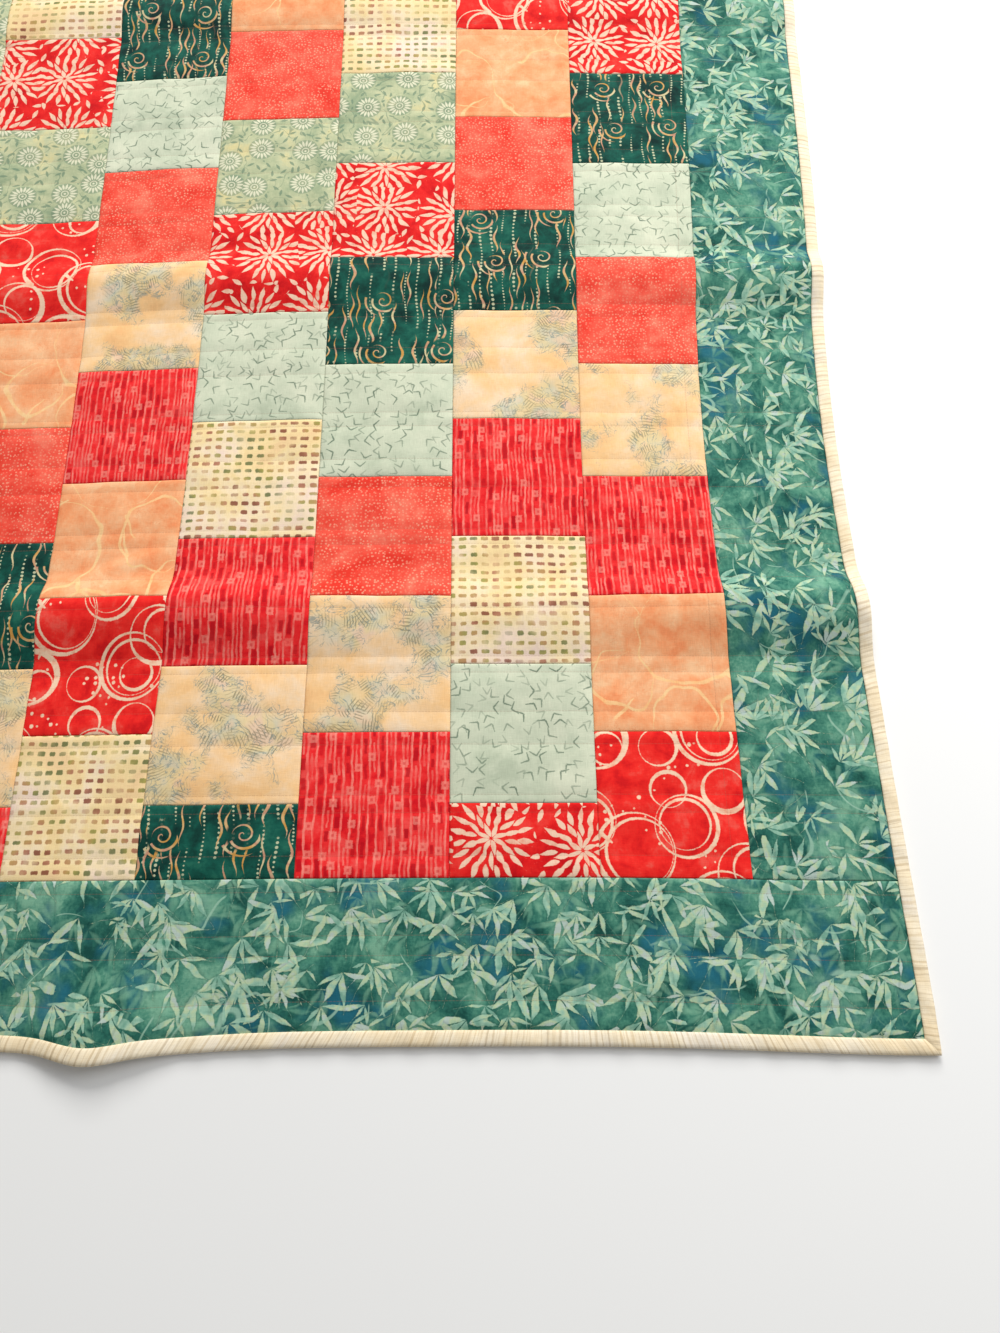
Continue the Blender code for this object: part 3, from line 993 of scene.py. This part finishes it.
# lanes of beads; lanes of tongues swayed by a sine; and curls, where radius grows with angle
def flameCotton(place, plan):
    x, y, _ = split(place)
    ground = groundColour(place, plan["ground"], size=32.0)
    string = (x + calc("SINE", y / 9.0) * 1.1) / plan["beads"]
    column = calc("FLOOR", string)
    _, fat, start = chanceOf(join(column, 5.0))
    pitch = 2.9 + 1.5 * fat
    beadX = (calc("FRACT", string) - 0.5) * plan["beads"]
    bead = y / pitch + start * 5.0
    beadY = (calc("FRACT", bead) - 0.5) * pitch
    size = 0.6 + 0.60 * fat + 0.25 * calc("SINE", bead * 0.7)
    strung = ease(noiseOf(join(column * 31.0, y), 30.0, detail=1), 0.45, 0.5)
    strung = strung * inside(vectorCalc("LENGTH", join(beadX, beadY)) - size, 0.5)
    colour = mixed(strung * 0.9, ground, plan["bead"])
    flames = 0.0
    for seed, shift in ((1.0, 0.0), (2.0, 0.5)):
        lane = x / plan["flames"] + shift
        which = calc("FLOOR", lane)
        odd, fat, start = chanceOf(join(which, seed * 7.0))
        run = y / (34.0 + 16.0 * fat) + start * 7.0
        kind, phase, lean = chanceOf(join(which + seed * 50.0, calc("FLOOR", run)))
        share = calc("FRACT", run)
        wave = calc("SINE", y / 3.9 + phase * fullTurn) * (1.1 + 0.9 * lean)
        beside = (calc("FRACT", lane) - 0.5) * plan["flames"] - wave - (odd - 0.5) * 2.0
        half = (0.85 + 0.7 * lean) * calc("SINE", share * math.pi) - 0.2
        tongue = waxed(calc("ABSOLUTE", beside) - half, place, rough=0.7, soft=0.5)
        flames = atLeast(tongue * ease(kind, 0.48, 0.52), flames)
    local, chances, _ = scatter(place, plan["curls"], 0.30, seed=3.0)
    lx, ly, _ = split(turned(local, (chances[1] - 0.5) * 1.5))
    out = vectorCalc("LENGTH", join(lx, ly))
    turn = calc("ARCTAN2", ly, lx) / fullTurn
    wound = calc("FRACT", out / 6.4 - turn + 0.5) - 0.5
    curl = calc("ABSOLUTE", wound) * 6.4 - (0.35 + out * 0.055)
    curl = atLeast(curl, out - (8.0 + 9.0 * ease(turn, 0.1, -0.35)))
    curls = waxed(curl, place, rough=0.6, soft=0.5)
    clear = inside(out - 12.5, 2.5)
    tint = dyeRamp(noiseOf(place, 15.0, detail=1, seed=4), plan["flame"], 0.36, 0.64)
    colour = mixed(clear * 0.9, colour, ground)
    return mixed(atLeast(flames * (1.0 - clear), curls) * 0.92, colour, tint)


# small leaves strewn at this pitch: distance in mm from the nearest one, pointed at both ends
def strewnLeaves(place, plan):
    local, chances, _ = scatter(place, plan["pitch"], 0.8, seed=2.0)
    along, beside, _ = split(turned(local, chances[0] * fullTurn))
    share = calc("DIVIDE", along + plan["long"] / 2, plan["long"], clamp=True)
    return calc("ABSOLUTE", beside) - (plan["wide"] / 2 * calc("SINE", share * math.pi) - 0.2)


# red print of big many-petalled flower heads
petalPrint = {
    "ground": [(200, 8, 18), (226, 22, 24), (240, 38, 34), (244, 62, 54)],
    "petal": [(238, 166, 138), (249, 210, 182)],
    "pitch": 60.0,
    "leaves": dict(pitch=13.0, long=12.0, wide=4.4),
    "rings": [
        dict(inner=1.0, outer=14.0, count=8, fat=2.0, turn=0.1),
        dict(inner=9.5, outer=24.0, count=14, fat=2.2, turn=0.4),
        dict(inner=19.0, outer=34.0, count=19, fat=2.4, turn=0.9),
    ],
}


# three rings of petals round each head, with strewn leaves between the heads
def petalCotton(place, plan):
    ground = groundColour(place, plan["ground"], size=30.0)
    sway = join(noiseOf(place, 22.0, detail=1) * 7.0, noiseOf(place, 22.0, detail=1, seed=6) * 7.0)
    bent = vectorCalc("ADD", place, sway)
    local, _, _ = scatter(bent, plan["pitch"], 0.35, seed=1.0)
    heads = [useGroup(petalRing, Local=local, Inner=ring["inner"], Outer=ring["outer"],
                      Count=float(ring["count"]), Fat=ring["fat"], Turn=ring["turn"])
             for ring in plan["rings"]]
    leaf = strewnLeaves(place, plan["leaves"]) + 9.0 * ease(vectorCalc("LENGTH", local), 34.0, 31.0)
    mask = waxed(atMost(*heads, leaf), place, rough=1.0, soft=0.6)
    pale = dyeRamp(noiseOf(place, 8.0, detail=3), plan["petal"], 0.25, 0.5)
    return mixed(mask, ground, pale)


# yellow-sage print of sun-rayed daisies on vines
daisyPrint = {
    "ground": [(150, 168, 134), (178, 188, 150), (200, 204, 164), (222, 212, 158)],
    "ray": (232, 230, 200),
    "leaf": (112, 138, 114),
    "pitch": 36.0,
    "leaves": dict(pitch=9.5, long=9.0, wide=3.0),
}


# a ring of rays on a disc for each cell, with strewn leaves and vines between them
def daisyCotton(place, plan):
    ground = groundColour(place, plan["ground"], size=48.0)
    local, _, _ = scatter(place, plan["pitch"], 0.45, seed=1.0)
    out = vectorCalc("LENGTH", local)
    leaf = strewnLeaves(place, plan["leaves"]) + 9.0 * ease(out, 15.0, 13.0)
    vine = calc("ABSOLUTE", noiseOf(place, 24.0, detail=1, distortion=0.8, seed=3) - 0.5)
    dark = atLeast(waxed(leaf, place) * 0.75, ease(vine, 0.016, 0.006) * ease(out, 13.0, 15.0) * 0.6)
    colour = mixed(dark, ground, plan["leaf"])
    disc = inside(out - 12.8, 0.8)
    colour = mixed(disc * 0.55, colour, plan["leaf"])
    rays = useGroup(petalRing, Local=local, Inner=4.6, Outer=13.2, Count=17.0, Fat=1.35, Turn=0.2)
    eye = atMost(calc("ABSOLUTE", out - 3.3) - 0.5, out - 1.1)
    return mixed(waxed(atMost(rays, eye), place, rough=0.7) * 0.9, colour, plan["ray"])


# border print of leaf fans that hang in overlapping sprays on a deep sea green
sprayPrint = {
    "ground": [(18, 74, 66), (42, 106, 92), (78, 140, 118), (124, 176, 148)],
    "pools": [(18, 84, 100), (30, 104, 126)],
    "faint": [(84, 146, 124), (132, 182, 152)],
    "leaf": [(126, 176, 154), (160, 200, 176), (192, 212, 170), (190, 208, 198)],
    "edge": (18, 66, 54),
    "fans": [
        dict(pitch=30.0, size=23.0, spread=0.66, crisp=False, shown=1.0),
        dict(pitch=38.0, size=31.0, spread=0.56, crisp=False, shown=0.9),
        dict(pitch=29.0, size=22.0, spread=0.72, crisp=True, shown=0.60),
        dict(pitch=36.0, size=29.0, spread=0.62, crisp=True, shown=0.70),
        dict(pitch=42.0, size=34.0, spread=0.54, crisp=True, shown=0.80),
        dict(pitch=32.0, size=26.0, spread=0.66, crisp=True, shown=0.66),
    ],
    "stems": 58.0,
}


# layers of leaf fans, faint ones first, each turned by chance, then thin stems
def sprayCotton(place, plan):
    ground = groundColour(place, plan["ground"], size=46.0, flecks=0.2)
    pool = noiseOf(place, 52.0, detail=3, roughness=0.6, seed=9)
    colour = mixed(ease(pool, 0.48, 0.64) * 0.8, ground, dyeRamp(pool, plan["pools"], 0.54, 0.66))
    bend = join(noiseOf(place, 17.0, detail=1) * 6.0, noiseOf(place, 17.0, detail=1, seed=6) * 6.0)
    bent = vectorCalc("ADD", place, bend)
    for seed, fanPlan in enumerate(plan["fans"], 1):
        crisp = fanPlan["crisp"]
        local, chances, middle = scatter(bent, fanPlan["pitch"], 0.85, seed=float(seed))
        lifted = vectorCalc("SUBTRACT", turned(local, (chances[1] - 0.5) * 2.0),
                            (0.0, fanPlan["size"] * 0.42, 0.0))
        fan = useGroup(leafFan, Local=lifted, Size=fanPlan["size"], Spread=fanPlan["spread"],
                       Leaves=2.0, Seed=chances[0])
        crowd = chances[2] * 0.6 + noiseOf(middle, 60.0, detail=1, seed=15) * 0.8 - 0.2
        fan = fan + 9.0 * ease(crowd, fanPlan["shown"] - 0.04, fanPlan["shown"])
        mask = waxed(fan, place, rough=1.3, soft=0.8 if crisp else 2.2)
        tones = plan["leaf" if crisp else "faint"]
        tint = dyeRamp(noiseOf(place, 12.0, detail=2, seed=seed), tones, 0.36, 0.64)
        if crisp:
            colour = mixed(waxed(fan - 1.0, place, rough=1.0, soft=2.0) * 0.24, colour, plan["edge"])
        colour = mixed(mask * (0.92 if crisp else 0.55), colour, tint)
    stem = calc("ABSOLUTE", noiseOf(place, plan["stems"], detail=1, distortion=0.6, seed=21) - 0.5)
    stem = ease(stem, 0.011, 0.004) * ease(noiseOf(place, 30.0, detail=1, seed=22), 0.50, 0.56)
    return mixed(stem * 0.7, colour, plan["leaf"][1])


# striped binding: broad soft stripes across the strip with thin ones between, all uneven
stripeBinding = {
    "ground": [(247, 226, 188), (252, 234, 200), (254, 240, 212), (250, 238, 218)],
    "stripe": [(176, 150, 112), (212, 184, 138)],
    "layers": [
        dict(pitch=4.7, narrow=0.3, broad=1.1, soft=0.8, strength=0.55, seed=1.0),
        dict(pitch=2.9, narrow=0.1, broad=0.4, soft=0.5, strength=0.40, seed=6.0),
    ],
}


# two layers of lanes across the strip, their width, strength and tone by chance
def stripeCotton(place, plan):
    x, _, _ = split(place)
    colour = groundColour(place, plan["ground"], size=60.0)
    for layer in plan["layers"]:
        lane = (x + (noiseOf(place, 14.0, detail=2, seed=layer["seed"]) - 0.5) * 2.4) / layer["pitch"]
        odd, fat, tone = chanceOf(join(calc("FLOOR", lane), layer["seed"]))
        local = calc("ABSOLUTE", calc("FRACT", lane) - 0.5) * layer["pitch"]
        half = layer["narrow"] + (layer["broad"] - layer["narrow"]) * fat
        mask = ease(local - half, layer["soft"] / 2, -layer["soft"] / 2)
        colour = mixed(mask * (0.2 + 0.8 * odd) * layer["strength"], colour,
                       dyeRamp(tone, plan["stripe"], 0.2, 0.8))
    return colour


# plain back: only the dyed ground
backPlan = {"ground": [(196, 206, 184), (206, 214, 192), (212, 218, 198), (220, 224, 206)]}


def backCotton(place, plan):
    return groundColour(place, plan["ground"], size=90.0)


# what all the cloths share: finish, thread and how deep weave and stitches are
clothFinish = {
    "roughness": 0.86,
    "specular": 0.16,
    "albedo": 0.88,
    "thread": (150, 96, 78),
    "threadShare": 0.26,
    # painted shade: the cloth's colour is darkened where a quilting line sinks it
    "sunkPaintedShade": 0.02,  # how much darker the cloth is where a line sinks it
    "sunkDepth": 0.4,
    "bumpStrength": 0.6,
    "bumpDepth": 0.00012,
}


# a cloth's material: its print, sewn with thread, with painted shade from the weave's threads and from the
# sunk quilting lines
def clothMaterial(name, printOf, plan, stitched=True):
    material = bpy.data.materials.new(name)
    material.use_nodes = True
    tree = material.node_tree
    shader = tree.nodes["Principled BSDF"]

    def flatMap(label):
        node = newNode(tree, "ShaderNodeUVMap", uv_map=label)
        return wire(tree, node.outputs[0])

    place = scaled(flatMap("cutPlace"), 1000.0)
    colour = printOf(place, plan)
    paintedShadeAndSlub, height = useGroup(cottonWeave, Place=place)
    # painted shade of the weave, with its slub tone, times the cloth's albedo
    share = paintedShadeAndSlub * clothFinish["albedo"]
    if stitched:
        thread, sunk = useGroup(quiltStitch, Across=flatMap("stitchAcross"), Up=flatMap("stitchUp"))
        colour = mixed(thread * clothFinish["threadShare"], colour, clothFinish["thread"])
        # painted shade in the sunk quilting line, on top of the real dip in the bump below
        share = share * (1.0 - sunk * clothFinish["sunkPaintedShade"])
        height = height - sunk * clothFinish["sunkDepth"]
    # colour times the albedo, the weave's painted shade and slub, and the painted shade of the sunk lines
    colour = mixed(1.0, colour, join(share, share, share), blend="MULTIPLY")
    bumpNode = newNode(tree, "ShaderNodeBump")
    feed(bumpNode.inputs["Height"], height)
    bumpNode.inputs["Strength"].default_value = clothFinish["bumpStrength"]
    bumpNode.inputs["Distance"].default_value = clothFinish["bumpDepth"]
    tree.links.new(bumpNode.outputs[0], shader.inputs["Normal"])
    feed(shader.inputs["Base Color"], colour)
    shader.inputs["Roughness"].default_value = clothFinish["roughness"]
    shader.inputs["Specular IOR Level"].default_value = clothFinish["specular"]
    return material


cloths = {
    "rings": clothMaterial("redRingCotton", ringCotton, ringPrint),
    "leaf": clothMaterial("peachLeafCotton", leafCotton, leafPrint),
    "bars": clothMaterial("redBarCotton", barCotton, barPrint),
    "blocks": clothMaterial("creamBlockCotton", blockCotton, blockPrint),
    "hatch": clothMaterial("creamHatchCotton", hatchCotton, hatchPrint),
    "dots": clothMaterial("coralDotCotton", dotCotton, dotPrint),
    "strokes": clothMaterial("sageStrokeCotton", strokeCotton, strokePrint),
    "flames": clothMaterial("tealFlameCotton", flameCotton, flamePrint),
    "petals": clothMaterial("redPetalCotton", petalCotton, petalPrint),
    "daisies": clothMaterial("sageDaisyCotton", daisyCotton, daisyPrint),
    "spray": clothMaterial("seaSprayCotton", sprayCotton, sprayPrint),
    "stripe": clothMaterial("creamStripeCotton", stripeCotton, stripeBinding, stitched=False),
    "back": clothMaterial("backCotton", backCotton, backPlan),
}
print("cloth materials made:", len(cloths))

# the field's cloths by column from the right, each column from the bottom up;
# columns with a half patch at both ends are dropped by half a patch
fieldColumns = [
    "rings leaf bars hatch dots strokes flames petals daisies blocks rings",
    "petals strokes blocks bars hatch flames dots leaf rings daisies strokes bars",
    "bars hatch dots strokes flames petals daisies blocks rings leaf bars",
    "flames hatch bars blocks strokes petals daisies dots leaf rings flames hatch",
    "blocks rings leaf bars hatch dots strokes flames petals daisies blocks",
    "bars hatch flames dots leaf rings daisies petals blocks strokes bars dots",
    "leaf bars hatch dots strokes flames petals daisies blocks rings leaf",
    "dots daisies rings strokes petals blocks bars hatch flames leaf dots rings",
    "hatch dots strokes flames petals daisies blocks rings leaf bars hatch",
]
patchMesh = {
    "step": 0.0032,
    "gap": 0.0001,  # between neighbours
    "seed": 11,
    "printStart": (3.0, 4.0),  # each patch is cut from its own place, up to "printSpread" from here
    "printSpread": 2.0,
}


# square patches, each with its edges turned under
def makeField():
    size = quiltCut["patch"]
    dice = np.random.default_rng(patchMesh["seed"])
    made = []
    for number, names in enumerate(fieldColumns):
        high = fieldHalf[0] - number * size - patchMesh["gap"] / 2
        low = high - size + patchMesh["gap"]
        clothNames = names.split()
        dropped = len(clothNames) > quiltCut["rows"]
        for row, clothName in enumerate(clothNames):
            start = -fieldHalf[1] + (row - (0.5 if dropped else 0)) * size
            bottom = max(start, -fieldHalf[1]) + patchMesh["gap"] / 2
            top = min(start + size, fieldHalf[1]) - patchMesh["gap"] / 2
            edges = (low, high, bottom, top)

            def topOf(s, t):
                edgeGap = np.minimum(np.minimum(s - low, high - s), np.minimum(t - bottom, top - t))
                return clothTop(s, t) - seamDip(np.abs(edgeGap))

            linesS = withAllowance(meshLines(low, high, stitchedSides, patchMesh["step"]), True, True)
            linesT = withAllowance(meshLines(bottom, top, stitchedRows, patchMesh["step"]), True, True)
            spread = patchMesh["printSpread"]
            shift = dice.uniform(-spread, spread, 2) + patchMesh["printStart"]
            name = f"patch_{number + 1}_{row + 1:02d}_{clothName}"
            patch = turnedSheet(name, linesS, linesT, edges, cloths[clothName], topOf, shift)
            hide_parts("field")
            tall = top - bottom + 2 * quiltCut["allowance"]
            made.append(patch)
    return made


patches = makeField()
print("patches made:", len(patches))

borderMesh = {
    "step": 0.0030,
    "underEdge": 0.0016,  # how far the strips stop short of the quilt's edge
    "rimEase": 0.0030,  # width over which a strip thins towards the binding
    "seamZone": 0.02,  # the dip at a side strip's ends is worked out this near to them
    "printStart": (2.0, 3.0),  # the first strip's place in the print, and the step to the next
    "printStep": (1.3, 0.9),
}


# four border strips, thinner where the binding covers their outer edge
def makeBorders():
    gap = patchMesh["gap"] / 2
    outX, outY = quiltHalf[0] - borderMesh["underEdge"], quiltHalf[1] - borderMesh["underEdge"]
    plans = {
        "border_right": (fieldHalf[0] + gap, outX, -fieldHalf[1] + gap, fieldHalf[1] - gap),
        "border_left": (-outX, -fieldHalf[0] - gap, -fieldHalf[1] + gap, fieldHalf[1] - gap),
        "border_top": (-outX, outX, fieldHalf[1] + gap, outY),
        "border_bottom": (-outX, outX, -outY, -fieldHalf[1] - gap),
    }

    # rim: how far a point is past the line where the binding begins
    def topOf(s, t):
        rim = np.maximum(np.abs(s) - borderHalf[0], np.abs(t) - borderHalf[1])
        fieldGap = np.maximum(np.abs(s) - fieldHalf[0], np.abs(t) - fieldHalf[1])
        top = clothTop(s, t) - seamDip(np.abs(fieldGap))
        sideSeam = (np.abs(s) > fieldHalf[0]) & (np.abs(t) > fieldHalf[1] - borderMesh["seamZone"])
        top = top - np.where(sideSeam, seamDip(np.abs(np.abs(t) - fieldHalf[1])), 0.0)
        share = np.clip(rim / borderMesh["rimEase"] + 1, 0, 1)
        return top + (quiltLoft["underBinding"] - top) * share * share * (3 - 2 * share)

    quarters = {"border_right": 1, "border_left": -1, "border_top": 0, "border_bottom": 0}
    made = []
    for number, (label, edges) in enumerate(plans.items()):
        low, high, bottom, top = edges
        acrossKeep = [-borderHalf[0], borderHalf[0]]
        alongKeep = [*stitchedRows, -borderHalf[1], borderHalf[1]]
        linesS = meshLines(low, high, acrossKeep, borderMesh["step"])
        linesT = meshLines(bottom, top, alongKeep, borderMesh["step"])
        linesS = withAllowance(linesS, low > 0, high < 0)
        linesT = withAllowance(linesT, bottom > -outY, top < outY)
        shift = np.array(borderMesh["printStep"]) * number + borderMesh["printStart"]
        strip = turnedSheet(f"strip_{label}", linesS, linesT, edges, cloths["spray"], topOf,
                            shift, quarters[label], 3)
        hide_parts(label)
        made.append(strip)
    return made


borders = makeBorders()
print("border strips made:", len(borders))

# folded binding: section as inset from the edge and height, from under the quilt round to the top
bindingSection = [
    dict(inset=0.0110, height=0.0011), dict(inset=0.0111, height=0.0005),
    dict(inset=0.0106, height=0.0000), dict(inset=0.0080, height=0.0000),
    dict(inset=0.0045, height=0.0000), dict(inset=0.0016, height=0.0001),
    dict(inset=0.0005, height=0.0007), dict(inset=0.0000, height=0.0021),
    dict(inset=0.0004, height=0.0036), dict(inset=0.0014, height=0.0044),
    dict(inset=0.0036, height=0.0048), dict(inset=0.0066, height=0.0048),
    dict(inset=0.0092, height=0.0045), dict(inset=0.0106, height=0.0041),
    dict(inset=0.0112, height=0.0036), dict(inset=0.0110, height=0.0031),
]
bindingPlan = {
    "step": 0.0034,
    "cornerSteps": [0.0, 0.0008, 0.0018, 0.0034],  # stations near a mitre, from it
    "cornerReach": 0.006,  # the even stations begin this far from it
    "ripple": 0.00025,
    "rippleWaves": (0.037, 0.0213),
    "mitreDip": 0.0006,
    "mitreReach": 0.0016,
    "lean": {"bottom": 0.60, "right": 0.30, "top": -0.30, "left": -0.20},  # of the stripes
    "leanTurns": 1.3,
    "bakeRows": 14,
    "flat": (0.0318, 5.60),
}


# binding: the section carried round the edge; a station at share u lies at u times each loop's half side
def makeBinding():
    insets = np.array([point["inset"] for point in bindingSection])
    heights = np.array([point["height"] for point in bindingSection])
    reach = np.concatenate([[0], np.cumsum(np.hypot(np.diff(insets), np.diff(heights)))])
    ends = np.array(bindingPlan["cornerSteps"])
    s, t, run, mitre, lean, square = [], [], [], [], [], []
    start = 0.0
    for label, side in (("bottom", 0), ("right", 1), ("top", 2), ("left", 3)):
        along = side % 2
        half = quiltHalf[along]
        count = round(2 * half / bindingPlan["step"])
        even = half - bindingPlan["cornerReach"]
        inner = np.linspace(-even, even, count)
        u = np.concatenate([-half + ends, inner, half - ends[:0:-1], [half]])[:-1] / half
        way = 1 if side in (0, 1) else -1
        first = u[:, None] * (half - insets) * way
        other = np.broadcast_to((quiltHalf[1 - along] - insets) * (1 if side in (1, 2) else -1), first.shape)
        s.append(other if along else first)
        t.append(first if along else other)
        run.append(start + (u + 1) * half)
        mitre.append(half - np.abs(u * half))
        lean.append(bindingPlan["lean"][label] * np.cos(math.pi * (u - 1) * bindingPlan["leanTurns"]))
        nextU = np.append(u[1:], 1.0)
        square.append(np.stack([start + (u + 1) * half, u, start + (nextU + 1) * half, nextU], axis=1))
        start += 2 * half
    s, t = np.concatenate(s), np.concatenate(t)
    run, mitre, lean, square = (np.concatenate(part) for part in (run, mitre, lean, square))
    raised = np.clip(heights / 0.0040, 0, 1)
    longWave, shortWave = (np.sin(run * fullTurn / wave + phase)
                           for wave, phase in zip(bindingPlan["rippleWaves"], (0, 1)))
    swell = bindingPlan["ripple"] * (longWave + 0.7 * shortWave)
    dip = bindingPlan["mitreDip"] * np.exp(-mitre / bindingPlan["mitreReach"])
    height = heights + raised * (swell - dip)[:, None]
    points = standOff(s, t, height).reshape(-1, 3)
    stations, corners = s.shape
    index = np.arange(stations * corners).reshape(stations, corners)
    after = np.roll(index, -1, axis=0)
    quads = np.stack([index[:, :-1].ravel(), after[:, :-1].ravel(),
                      after[:, 1:].ravel(), index[:, 1:].ravel()], axis=1)
    cellRow = np.repeat(np.arange(stations), corners - 1)
    cellCorner = np.tile(np.arange(corners - 1), stations)
    nextRun = np.append(run[1:], start)
    x0, x1 = run[cellRow], nextRun[cellRow]
    y0, y1 = reach[cellCorner], reach[cellCorner + 1]
    corner = np.stack([np.stack([x0, y0], 1), np.stack([x1, y0], 1),
                       np.stack([x1, y1], 1), np.stack([x0, y1], 1)], axis=1)
    # printed place: straight along the edge at every inset, then leant by a slow cosine
    inset = insets[np.stack([cellCorner, cellCorner, cellCorner + 1, cellCorner + 1], axis=1)]
    begin, beginShare, end, endShare = (part[cellRow][:, None] for part in square.T)
    early = begin - beginShare * inset
    late = end - endShare * inset
    slanted = corner.copy()
    slanted[..., 0] = np.where([True, False, False, True], early, late)
    slanted[..., 0] += lean[cellRow][:, None] * corner[..., 1]
    rows = bindingPlan["bakeRows"]
    rowLong = start / rows
    row = np.minimum(((x0 + x1) / 2 / rowLong).astype(int), rows - 1)
    bake = np.stack([0.012 + 0.976 * (corner[..., 0] / rowLong - row[:, None]),
                     (row[:, None] + 0.06 + 0.88 * corner[..., 1] / reach[-1]) / rows], axis=-1)
    maps = {"cutPlace": slanted, "OFBake": bake}
    ring = makePiece("edge_binding", points, quads, maps, cloths["stripe"])
    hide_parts("binding")
    return ring


makeBinding()
print("binding made")

backMesh = {"step": 0.0085, "edge": 0.0018, "rimEase": 0.0013}


# plain back, one flat grid that steps up where the binding covers it
def makeBack():
    outX, outY = quiltHalf[0] - backMesh["edge"], quiltHalf[1] - backMesh["edge"]
    linesS = meshLines(-outX, outX, [-borderHalf[0], borderHalf[0]], backMesh["step"])
    linesT = meshLines(-outY, outY, [-borderHalf[1], borderHalf[1]], backMesh["step"])
    s, t = np.meshgrid(linesS, linesT, indexing="ij")
    rim = np.maximum(np.abs(s) - borderHalf[0], np.abs(t) - borderHalf[1])
    share = np.clip(rim / backMesh["rimEase"] + 1, 0, 1)
    height = quiltLoft["back"] + (quiltLoft["backUnderBinding"] - quiltLoft["back"]) * share
    points = standOff(s, t, height).reshape(-1, 3)
    quads = gridQuads(*s.shape)[:, ::-1]
    flat = np.stack([s.ravel(), t.ravel()], axis=1)
    maps = {
        "cutPlace": flat + (3.0, 5.0),
        "stitchAcross": np.stack([s.ravel(), nearest(t, stitchedRows).ravel()], axis=1),
        "stitchUp": np.full((len(flat), 2), turnedEdge["noLine"][1]),
        "OFBake": (flat + (outX, outY)) / (2 * outX, 2 * outY),
    }
    back = makePiece("quilt_back", points, quads, maps, cloths["back"])
    2 * outX
    2 * outY
    return back


makeBack()
print("back made")

stageLook = {
    "floor": (0.86, 0.86, 0.85),
    "floorRoughness": 0.9,
    "floorSize": 12.0,
    "floorDrop": 0.0006,
    "world": (1.0, 1.0, 1.0),
    "worldStrength": 0.29,
}
stageLamps = [
    dict(name="farWindow", place=(0.2, 3.4, 2.25), aim=(0.2, 0.3, 0.0), size=2.0, watts=198.0,
         colour=(1.0, 0.985, 0.96)),
    dict(name="sideFill", place=(1.6, 0.3, 1.3), aim=(0.5, -0.1, 0.0), size=1.3, watts=22.0,
         colour=(0.98, 0.99, 1.0)),
]


# floor, world and lamps; a lamp is tilted and turned to face its aim
def makeStage():
    half = stageLook["floorSize"] / 2
    corners = np.array([(-half, -half), (half, -half), (half, half), (-half, half)])
    points = np.column_stack([corners, np.full(4, cadBox[0][2] - stageLook["floorDrop"])])
    mesh = bpy.data.meshes.new("floor")
    mesh.from_pydata(points.tolist(), [], [(0, 1, 2, 3)])
    floor = bpy.data.objects.new("floor", mesh)
    bpy.context.scene.collection.objects.link(floor)
    material = bpy.data.materials.new("paleFloor")
    material.use_nodes = True
    shader = material.node_tree.nodes["Principled BSDF"]
    shader.inputs["Base Color"].default_value = (*stageLook["floor"], 1.0)
    shader.inputs["Roughness"].default_value = stageLook["floorRoughness"]
    mesh.materials.append(material)
    world = bpy.data.worlds.new("studio")
    world.use_nodes = True
    sky = world.node_tree.nodes["Background"]
    sky.inputs["Color"].default_value = (*stageLook["world"], 1.0)
    sky.inputs["Strength"].default_value = stageLook["worldStrength"]
    bpy.context.scene.world = world
    for lamp in stageLamps:
        light = bpy.data.lights.new(lamp["name"], "AREA")
        light.shape = "SQUARE"
        light.size = lamp["size"]
        light.energy = lamp["watts"]
        light.color = lamp["colour"]
        holder = bpy.data.objects.new(lamp["name"], light)
        bpy.context.scene.collection.objects.link(holder)
        holder.location = lamp["place"]
        aim = np.array(lamp["aim"]) - np.array(lamp["place"])
        tilt = math.atan2(math.hypot(aim[0], aim[1]), -aim[2])
        holder.rotation_euler = (tilt, 0.0, math.atan2(-aim[0], aim[1]))
    bpy.context.scene.view_settings.view_transform = "Standard"


# hand-held camera over the lower right part, looking down and a little up the quilt
cameraView = {
    "overCloth": (0.30779, -0.74018, 0.81170),
    "spin": (3.40, 19.16, -3.63),  # turn about the view, tilt, turn about the upright, in degrees
    "lens": 28.595,
    "sensor": 36.0,
}


# camera turned about its view, then tilted, then turned about the upright
def makeCamera():
    view = bpy.data.cameras.new("quiltCamera")
    view.lens = cameraView["lens"]
    view.sensor_width = cameraView["sensor"]
    view.clip_start = 0.01
    holder = bpy.data.objects.new("quiltCamera", view)
    bpy.context.scene.collection.objects.link(holder)
    roll, tilt, heading = (math.radians(turn) for turn in cameraView["spin"])
    pose = Matrix.Rotation(heading, 4, "Z") @ Matrix.Rotation(tilt, 4, "X") @ Matrix.Rotation(roll, 4, "Z")
    pose.translation = np.array(cameraView["overCloth"]) + quiltStep
    holder.matrix_world = pose
    bpy.context.scene.camera = holder


makeStage()
makeCamera()
print("floor, lamps and camera made")
